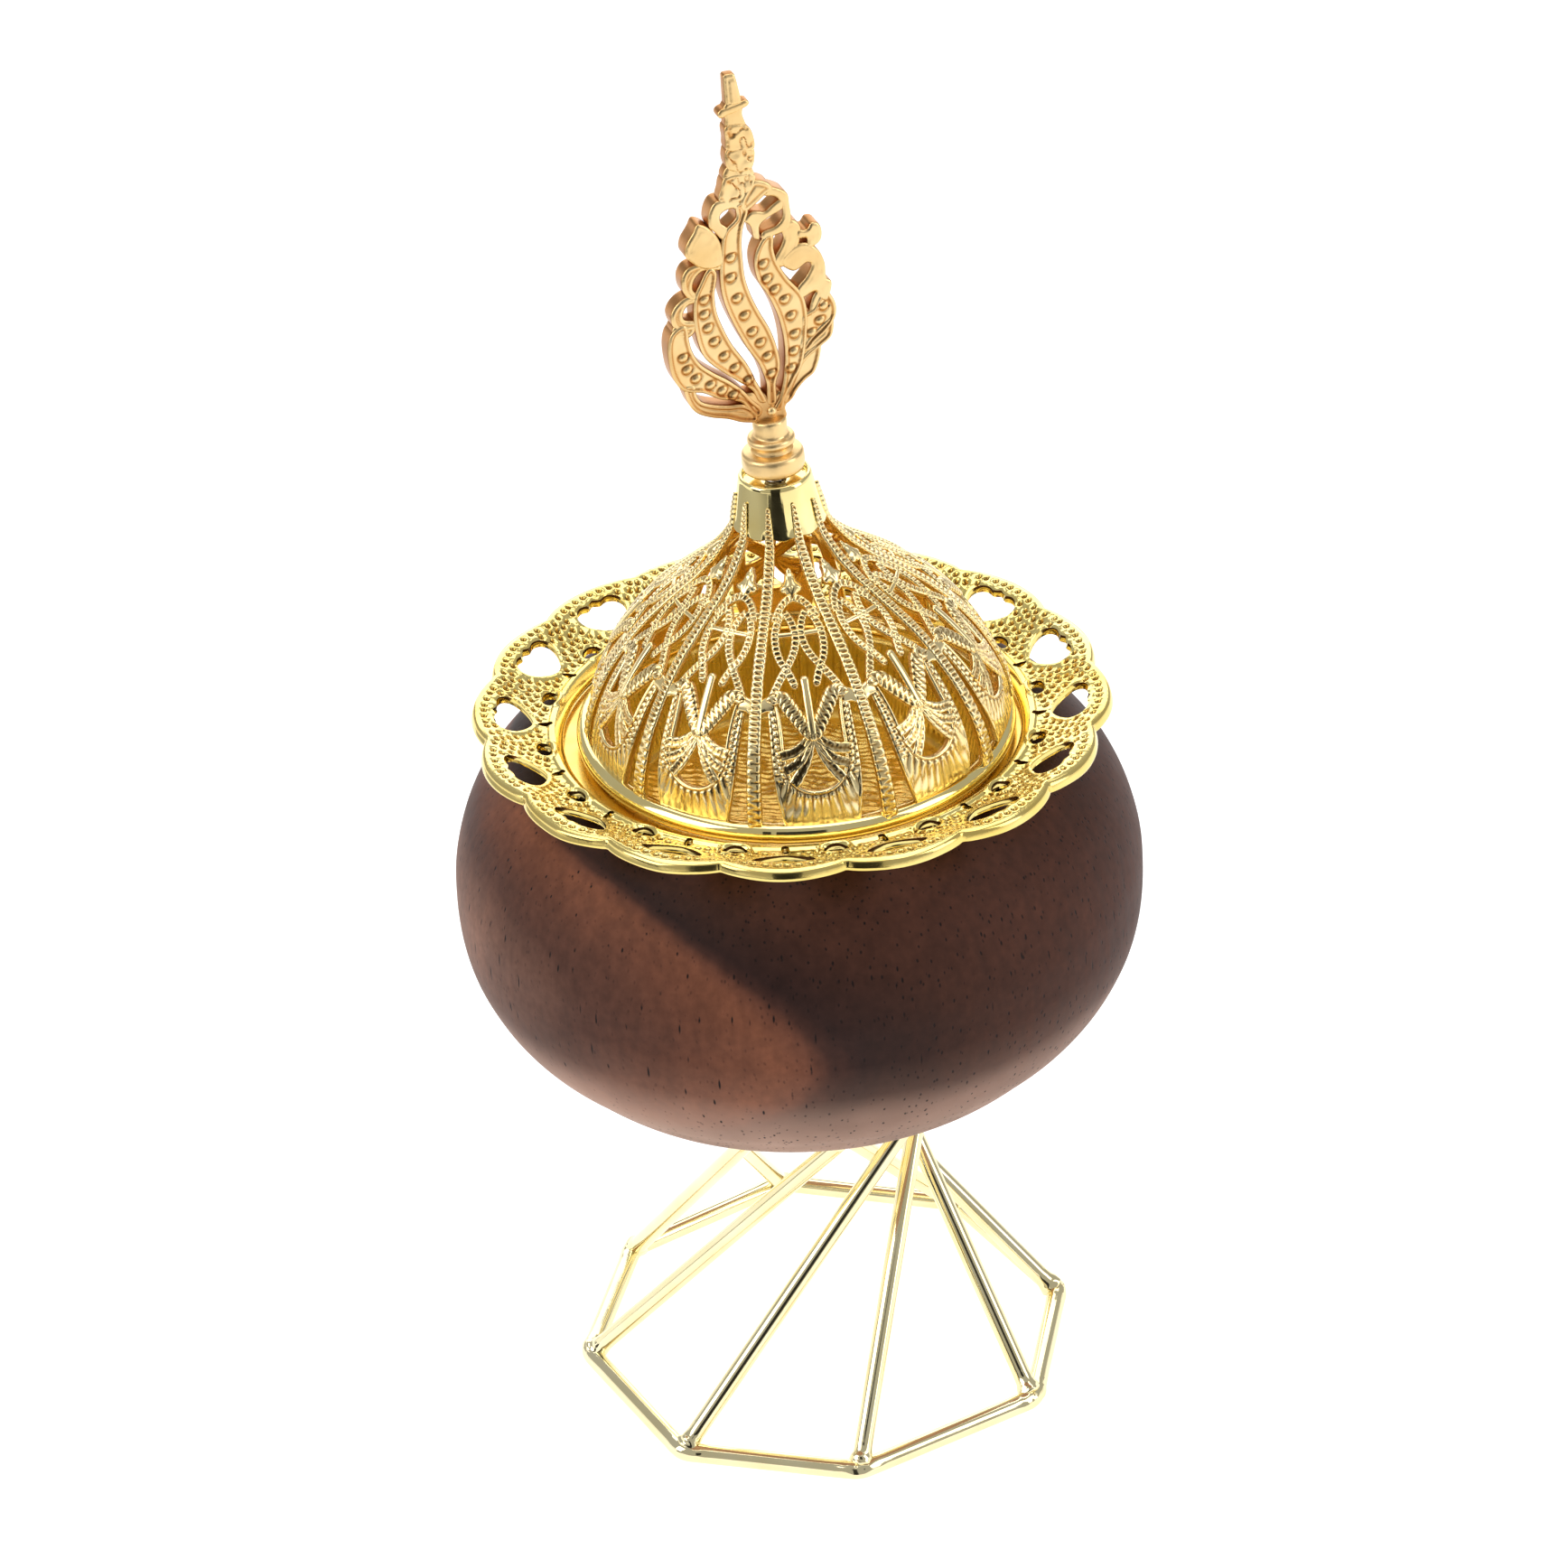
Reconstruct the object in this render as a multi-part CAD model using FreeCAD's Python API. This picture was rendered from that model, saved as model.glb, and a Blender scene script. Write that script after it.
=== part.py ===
import FreeCAD, Part
import math
import os

os.makedirs("parts", exist_ok=True)

V = FreeCAD.Vector

# ---------------------------------------------------------------- driving dimensions (mm, +Z up)
# wire stand
ring_wire_r = 1.45        # radius of the base ring wire
# corners of the hand bent octagon, to the wire centre: (radius, angle)
ring_corners = [(35.92, -172.09), (37.19, -125.78), (37.05, -83.12), (37.9, -34.7),
                (36.77, 7.63), (36.81, 52.88), (37.45, 98.05), (36.05, 143.49)]
ring_bend_r = 3.2         # bend radius at each corner, to the wire centre
leg_wire_r = 1.35         # radius of a leg wire
leg_top_r = 18.4          # the legs meet the plate on this circle, each about 97 degrees round from its foot
leg_top_angles = [-78.1, -25.6, 14.6, 64.4, 105.2, 153.6, 196.0, 240.0]
plate_z0, plate_z1 = 47.6, 48.6
plate_r = 19.6
screw_head_r, screw_head_h = 4.4, 2.8
screw_shank_r = 2.5
screw_tip_z = 62.0

# wooden bowl, outside profile (radius, height), bottom to mouth
bowl_profile = [(17.0, 48.6), (20.6, 50.5), (25.0, 52.95), (29.6, 55.5), (33.0, 57.35), (35.0, 58.45), (36.6, 59.35), (37.8, 60.15),
                (38.8, 61.0), (39.95, 62.1), (41.6, 63.8), (43.9, 66.15), (46.0, 69.0), (47.6, 72.0), (48.85, 75.1), (49.6, 78.3),
                (49.95, 81.6), (50.0, 84.8),
                (49.83, 88.2), (49.2, 91.4), (48.3, 94.4), (47.2, 97.0), (45.8, 99.6), (44.0, 102.0), (41.4, 104.9),
                (39.0, 106.7), (37.7, 107.25), (36.7, 107.4)]
mouth_r = 34.0            # bore of the mouth
seat_depth = 1.4          # depth of the rebate that the tray's flange sits in
mouth_bevel = 0.4         # height of the bevel round the mouth
cavity_r = 31.2           # bore of the hollow
cavity_z = 91.6           # floor of the hollow

# tray
petals = 16
petal_phase = 132.09      # angle of one petal's centre line
petal_r_out, petal_r_in = 46.2, 44.5
brim_t = 1.15
brim_top = [(33.05, 108.5), (34.15, 109.7), (34.75, 109.75), (35.2, 109.35), (37.4, 110.05), (39.7, 110.95),
            (41.8, 112.0), (43.3, 112.75), (44.3, 112.9), (45.4, 112.45), (46.6, 111.2)]
cup_ledge_z = 107.2       # ledge that the lid ring rests over
cup_wall_top_r, cup_wall_bot_r = 28.5, 26.2
cup_floor_z = 94.5
cup_t = 0.9

# lid
lid_x = 0.6               # the lid sits a little off centre in its seat
lid_ring_r, lid_ring_wire_r = 30.1, 1.5
lid_ring_z = 109.1
dome_x = 1.1              # foot of the dome axis
dome_tilt = 2.5           # lean of the dome and finial toward -X, degrees
dome_t = 1.1
dome_profile = [(0.0, 30.6), (2.5, 30.3), (5.0, 29.8), (7.5, 28.95), (10.0, 27.8), (12.5, 26.35), (15.0, 24.6),
                (17.5, 22.55), (20.0, 20.1), (21.5, 18.3), (23.0, 16.4), (24.5, 14.4), (26.0, 12.4), (27.5, 10.75),
                (29.0, 9.3), (31.0, 7.85), (33.0, 6.7)]
bays = 10
bay_phase = 5.0           # angle of one bay centre from the front, degrees
rib_w = 1.3
rib_h = 0.55

# collar and finial (heights along the leaning axis, from the lid ring's centre plane)
collar_z0, collar_z1 = 33.0, 41.0
collar_r0, collar_r1 = 6.6, 5.1
collar_t = 0.6
web_z0, web_z1 = 39.3, 40.1
web_hole_r = 1.6
base_z0 = 41.7
stud_r = 1.5
stud_z0, stud_z1 = 34.6, 43.4
nut_af, nut_z0, nut_z1 = 5.5, 36.6, 39.0
leaf_turn = 18.0          # the leaf faces a little to the right
leaf_front, leaf_back = 1.25, 2.25   # faces of the leaf before and behind the axis

AX_O = V(dome_x, 0, lid_ring_z)


# ---------------------------------------------------------------- helpers
def save(shape, node):
    if shape.ShapeType == "Compound" and len(shape.Solids) == 1:
        shape = shape.Solids[0]
    if not shape.isValid():
        shape.fix(0.01, 0.01, 0.01)
    shape.exportStep("parts/%s.step" % node)
    bb = shape.BoundBox
    print("%-14s solids %d valid %s vol %.1f  x %.1f..%.1f y %.1f..%.1f z %.2f..%.2f" % (
        node, len(shape.Solids), shape.isValid(), shape.Volume, bb.XMin, bb.XMax, bb.YMin, bb.YMax, bb.ZMin, bb.ZMax))


def revolve_rz(points):
    pts = [V(r, 0, z) for r, z in points]
    pts.append(pts[0])
    face = Part.Face(Part.makePolygon(pts))
    return face.revolve(V(0, 0, 0), V(0, 0, 1), 360)


def prism_xz(points, y0, y1):
    """closed outline in the XZ plane, extruded along Y"""
    pts = [V(x, y0, z) for x, z in points]
    pts.append(pts[0])
    return Part.Face(Part.makePolygon(pts)).extrude(V(0, y1 - y0, 0))


def lean(shape):
    """from dome axis coordinates to the row frame"""
    s = shape.copy()
    s.rotate(V(0, 0, 0), V(0, 1, 0), -dome_tilt)
    s.translate(AX_O)
    return s


def smooth_wire(points):
    c = Part.BSplineCurve()
    c.interpolate([V(*p) for p in points], True)
    return Part.Wire([c.toShape()])


def interp(table, x):
    for (a, b), (c, d) in zip(table[:-1], table[1:]):
        if a <= x <= c:
            return b + (d - b) * (x - a) / (c - a)
    return table[0][1] if x < table[0][0] else table[-1][1]


# ---------------------------------------------------------------- base ring
n = 8
corner = [V(r * math.cos(math.radians(a)), r * math.sin(math.radians(a)), ring_wire_r) for r, a in ring_corners]
edges = []
ends = []
feet = []
for k in range(n):
    p, q, s = corner[k - 1], corner[k], corner[(k + 1) % n]
    e1 = (p - q).normalize()
    e2 = (s - q).normalize()
    half = math.acos(max(-1.0, min(1.0, e1.dot(e2)))) / 2.0
    a = q + e1 * (ring_bend_r / math.tan(half))
    b = q + e2 * (ring_bend_r / math.tan(half))
    inward = (e1 + e2).normalize()
    mid = q + inward * (ring_bend_r / math.sin(half) - ring_bend_r)
    ends.append((a, mid, b))
    feet.append(mid)
for k in range(n):
    a, mid, b = ends[k]
    edges.append(Part.Arc(a, mid, b).toShape())
    edges.append(Part.LineSegment(b, ends[(k + 1) % n][0]).toShape())
path = Part.Wire(edges)
start = ends[0][0]
tangent = (corner[0] - corner[-1]).normalize()
section = Part.Wire([Part.Circle(start, tangent, ring_wire_r).toShape()])
base_ring = path.makePipeShell([section], True, False)
if not base_ring.Solids:
    base_ring = Part.Solid(base_ring)
save(base_ring, "base_ring")
ring_solid = base_ring.Solids[0] if base_ring.Solids else base_ring

# ---------------------------------------------------------------- legs, all skewed the same way
above = Part.makeBox(200, 200, 60, V(-100, -100, plate_z0))
for k in range(n):
    th = math.radians(leg_top_angles[k])
    head = V(leg_top_r * math.cos(th), leg_top_r * math.sin(th), plate_z0)
    leg = Part.makeCylinder(leg_wire_r, (head - feet[k]).Length + 8.0, feet[k], head - feet[k])
    leg = leg.cut(above).cut(ring_solid)
    if len(leg.Solids) > 1:
        leg = max(leg.Solids, key=lambda s: s.Volume)
    save(leg, "leg_%d" % (k + 1))

# ---------------------------------------------------------------- mounting plate and its screw
plate = Part.makeCylinder(plate_r, plate_z1 - plate_z0, V(0, 0, plate_z0))
plate = plate.cut(Part.makeCylinder(screw_shank_r, 5, V(0, 0, plate_z0 - 1)))
save(plate, "stand_plate")

head = Part.makeCylinder(screw_head_r, screw_head_h, V(0, 0, plate_z0 - screw_head_h))
head = head.makeFillet(0.9, [e for e in head.Edges if e.BoundBox.ZMax < plate_z0 - screw_head_h + 0.01])
shank = Part.makeCylinder(screw_shank_r, screw_tip_z - plate_z0, V(0, 0, plate_z0))
screw = head.fuse(shank).removeSplitter()
for a in (0, 90):
    slot = Part.makeBox(4.6, 0.8, 1.5, V(-2.3, -0.4, plate_z0 - screw_head_h - 0.2))
    slot.rotate(V(0, 0, 0), V(0, 0, 1), a + 20)
    screw = screw.cut(slot)
save(screw, "plate_screw")

# ---------------------------------------------------------------- wooden bowl
curve = Part.BSplineCurve()
curve.interpolate([V(r, 0, z) for r, z in bowl_profile])
rim_r, rim_z = bowl_profile[-1]
foot_r, foot_z = bowl_profile[0]
outline = [curve.toShape(),
           Part.LineSegment(V(rim_r, 0, rim_z), V(mouth_r, 0, rim_z - mouth_bevel)).toShape(),
           Part.LineSegment(V(mouth_r, 0, rim_z - mouth_bevel), V(mouth_r, 0, rim_z - seat_depth)).toShape(),
           Part.LineSegment(V(mouth_r, 0, rim_z - seat_depth), V(cavity_r, 0, rim_z - seat_depth)).toShape(),
           Part.LineSegment(V(cavity_r, 0, rim_z - seat_depth), V(cavity_r, 0, cavity_z + 3)).toShape(),
           Part.Arc(V(cavity_r, 0, cavity_z + 3), V(cavity_r - 0.879, 0, cavity_z + 0.879), V(cavity_r - 3, 0, cavity_z)).toShape(),
           Part.LineSegment(V(cavity_r - 3, 0, cavity_z), V(0, 0, cavity_z)).toShape(),
           Part.LineSegment(V(0, 0, cavity_z), V(0, 0, foot_z)).toShape(),
           Part.LineSegment(V(0, 0, foot_z), V(foot_r, 0, foot_z)).toShape()]
bowl = Part.Face(Part.Wire(outline)).revolve(V(0, 0, 0), V(0, 0, 1), 360)
bowl = bowl.cut(Part.makeCylinder(screw_shank_r, screw_tip_z + 1.0 - foot_z, V(0, 0, foot_z)))
save(bowl, "wooden_bowl")

# ---------------------------------------------------------------- tray brim, pierced
under = [(r, z - brim_t) for r, z in brim_top[3:]]
section = brim_top + list(reversed(under)) + [(33.05, 108.2)]
brim = revolve_rz(section)
# petal outline
pts = []
for i in range(petals * 10):
    a = 360.0 * i / (petals * 10)
    ph = math.radians((a - petal_phase) * petals / 2.0)
    r = petal_r_in + (petal_r_out - petal_r_in) * abs(math.cos(ph)) ** 0.8
    pts.append((r * math.cos(math.radians(a)), r * math.sin(math.radians(a)), 100.0))
outer = Part.Face(Part.makePolygon([V(*p) for p in pts] + [V(*pts[0])])).extrude(V(0, 0, 20))
brim = brim.common(outer)
cutters = []
spade = [(37.2, 0.0), (37.6, 1.5), (38.6, 2.9), (39.9, 4.0), (41.2, 3.6), (41.9, 2.3), (41.5, 1.2), (42.1, 0.0)]
spade = spade + [(r, -y) for r, y in reversed(spade[1:-1])]
slit = [(33.9 + 0.5, 0.0), (35.0, 0.55), (36.2, 0.6), (36.6, 0.0), (36.2, -0.6), (35.0, -0.55)]
oval = []
for i in range(16):
    t = 2 * math.pi * i / 16
    oval.append((35.9 + 1.15 * math.cos(t), 1.75 * math.sin(t)))
for k in range(petals):
    base = petal_phase + 360.0 / petals * k
    for shape2d, off in ((spade, 0.0), (slit, 0.0), (oval, 180.0 / petals)):
        f = Part.Face(Part.makePolygon([V(x, y, 104) for x, y in shape2d] + [V(shape2d[0][0], shape2d[0][1], 104)]))
        s = f.extrude(V(0, 0, 12))
        s.rotate(V(0, 0, 0), V(0, 0, 1), base + off)
        cutters.append(s)
brim = brim.cut(Part.makeCompound(cutters))
save(brim, "tray_brim")

# ---------------------------------------------------------------- tray cup: flange, ledge, wall and floor
cup = revolve_rz([(0.0, cup_floor_z), (cup_wall_bot_r - 1.6, cup_floor_z), (cup_wall_bot_r - 0.4, cup_floor_z + 0.5),
                  (cup_wall_bot_r, cup_floor_z + 1.8), (cup_wall_top_r, cup_ledge_z - 0.6), (cup_wall_top_r + 0.5, cup_ledge_z),
                  (32.55, cup_ledge_z), (33.05, cup_ledge_z + 1.0),
                  (33.65, cup_ledge_z + 1.0), (33.65, cup_ledge_z - 0.9),
                  (cup_wall_top_r + cup_t, cup_ledge_z - 0.9), (cup_wall_bot_r + cup_t, cup_floor_z + 1.2),
                  (cup_wall_bot_r - 0.4, cup_floor_z - 0.9), (0.0, cup_floor_z - 0.9)])
save(cup, "tray_cup")

# ---------------------------------------------------------------- lid ring
lid_ring = Part.makeTorus(lid_ring_r, lid_ring_wire_r, V(lid_x, 0, lid_ring_z), V(0, 0, 1))
save(lid_ring, "lid_ring")

# ---------------------------------------------------------------- lid dome: shell, ribs, piercings
rt = [(z, r) for z, r in dome_profile]


def dome_r(t):
    return interp(rt, t)


def shell_offset(t, d):
    e = 0.2
    s = (dome_r(min(t + e, 33.0)) - dome_r(max(t - e, 0.0))) / (min(t + e, 33.0) - max(t - e, 0.0))
    k = math.sqrt(1 + s * s)
    return dome_r(t) + d / k, t - d * s / k


outside = [(dome_r(z), z) for z, r in dome_profile]
outside = [(outside[0][0] + 0.1, -2.5)] + outside
inside = [shell_offset(z, -dome_t) for z, r in dome_profile]
inside[0] = (dome_r(0) - dome_t, 0.0)
inside[-1] = (dome_r(33.0) - 1.35, 33.0)
inside = [(inside[0][0] + 0.1, -2.5)] + inside
dome = revolve_rz(outside + list(reversed(inside)))

rib_path_out = []
rib_path_in = []
for z, r in dome_profile:
    x, t = shell_offset(z, rib_h)
    rib_path_out.append((x, t))
    x, t = shell_offset(z, -dome_t * 0.5)
    rib_path_in.append((x, t))
rib_path_out[0] = (rib_path_out[0][0], -2.5)
rib_path_in[0] = (rib_path_in[0][0], -2.5)
rib_path_out = rib_path_out[:-1] + [(6.95, 33.6), (6.15, 38.0)]
rib_path_in = rib_path_in[:-1] + [(6.1, 33.0), (5.3, 37.8)]
rib_outline = rib_path_out + list(reversed(rib_path_in))
ribs = []
for k in range(bays):
    rib = prism_xz(rib_outline, -rib_w / 2.0, rib_w / 2.0)
    rib.rotate(V(0, 0, 0), V(0, 0, 1), -90.0 + bay_phase + 18.0 + 36.0 * k)
    ribs.append(rib)


def bay_polygon(points):
    """(degrees from the bay centre, height) to a radial prism at the bay centre (+X)"""
    pts = []
    for a, t in points:
        r = dome_r(t)
        pts.append(V(0.5, r * math.sin(math.radians(a)), t))
    pts.append(pts[0])
    return Part.Face(Part.makePolygon(pts)).extrude(V(36, 0, 0))


bay_cuts = []
for s in (1, -1):
    m = lambda pts: [(s * a, t) for a, t in pts]
    bay_cuts.append(m([(16.3, 1.9), (12.0, 1.9), (13.4, 9.0), (14.2, 14.6), (16.0, 15.2)]))
    bay_cuts.append(m([(9.3, 11.2), (10.0, 14.2), (7.4, 15.0), (3.2, 13.7), (3.6, 12.2), (7.0, 10.6)]))
    bay_cuts.append(m([(15.2, 24.0), (13.2, 24.0), (12.6, 21.6), (9.8, 20.1), (13.6, 17.7), (16.0, 17.7)]))
    bay_cuts.append(m([(7.1, 24.1), (9.6, 22.9), (7.3, 21.2), (4.6, 22.9)]))
bay_cuts.append([(0.0, 10.4), (4.0, 8.4), (2.6, 7.2), (-2.6, 7.2), (-4.0, 8.4)])
bay_cuts.append([(-1.3, 14.8), (-1.3, 19.3), (1.3, 19.3), (1.3, 14.8), (4.5, 15.5), (8.5, 16.7), (11.0, 17.4), (5.4, 20.2),
                 (1.6, 22.6), (-1.6, 22.6), (-5.4, 20.2), (-11.0, 17.4), (-8.5, 16.7), (-4.5, 15.5)])
bay_cuts.append([(0.0, 25.7), (4.6, 25.2), (2.0, 24.0), (-2.0, 24.0), (-4.6, 25.2)])
bay_cuts.append([(-11.5, 26.4), (-9.2, 31.6), (9.2, 31.6), (11.5, 26.4), (6.0, 26.9), (3.4, 27.0), (4.6, 28.0), (0.0, 29.9),
                 (-4.6, 28.0), (-3.4, 27.0), (-6.0, 26.9)])
one_bay = [bay_polygon(p) for p in bay_cuts]
tools = []
for k in range(bays):
    for s in one_bay:
        c = s.copy()
        c.rotate(V(0, 0, 0), V(0, 0, 1), -90.0 + bay_phase + 36.0 * k)
        tools.append(c)
dome = dome.cut(Part.makeCompound(tools))
dome = dome.fuse(ribs)
collar_space = Part.makeCone(collar_r0, collar_r1, collar_z1 - collar_z0, V(0, 0, collar_z0))
dome = dome.cut(collar_space)
dome = lean(dome)
dome = dome.cut(Part.makeBox(200, 200, 60, V(-100, -100, lid_ring_z - 60)))
dome = dome.cut(lid_ring)
if len(dome.Solids) > 1:
    print("dome pieces", [round(s.Volume, 2) for s in dome.Solids])
    dome = max(dome.Solids, key=lambda s: s.Volume)
save(dome, "lid_dome")

# ---------------------------------------------------------------- collar
collar = revolve_rz([(collar_r0, collar_z0), (collar_r1, collar_z1), (collar_r1 - collar_t, collar_z1),
                     (collar_r1 - collar_t + 0.1, web_z1), (web_hole_r, web_z1), (web_hole_r, web_z0),
                     (collar_r1 - collar_t + 0.2, web_z0), (collar_r0 - collar_t - 0.45, collar_z0)])
save(lean(collar), "lid_collar")

# ---------------------------------------------------------------- finial base: disc, slab, ring and post
b = base_z0
base = revolve_rz([(stud_r, b), (4.1, b), (4.47, b + 0.35), (4.47, b + 1.1), (4.3, b + 1.25), (4.47, b + 1.4), (4.47, b + 2.0),
                   (4.2, b + 2.4), (3.0, b + 2.5), (2.9, b + 2.6), (2.9, b + 3.4), (2.7, b + 3.55), (2.9, b + 3.7), (2.9, b + 4.3),
                   (3.2, b + 4.45), (3.42, b + 4.9), (3.3, b + 5.4), (2.9, b + 5.75), (2.48, b + 5.9), (2.45, b + 8.0),
                   (0.0, b + 8.0), (0.0, stud_z1), (stud_r, stud_z1)])
save(lean(base), "finial_base")

# ---------------------------------------------------------------- stud and nut
stud = Part.makeCylinder(stud_r, stud_z1 - stud_z0, V(0, 0, stud_z0))
stud = stud.makeChamfer(0.3, [e for e in stud.Edges if e.BoundBox.ZMax < stud_z0 + 0.01])
save(lean(stud), "finial_stud")
hexa = []
for i in range(7):
    a = math.radians(60 * i + 10)
    hexa.append(V(nut_af / math.sqrt(3) * math.cos(a), nut_af / math.sqrt(3) * math.sin(a), nut_z0))
nut = Part.Face(Part.makePolygon(hexa)).extrude(V(0, 0, nut_z1 - nut_z0))
nut = nut.cut(Part.makeCylinder(stud_r, 6, V(0, 0, nut_z0 - 1)))
save(lean(nut), "finial_nut")

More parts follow.
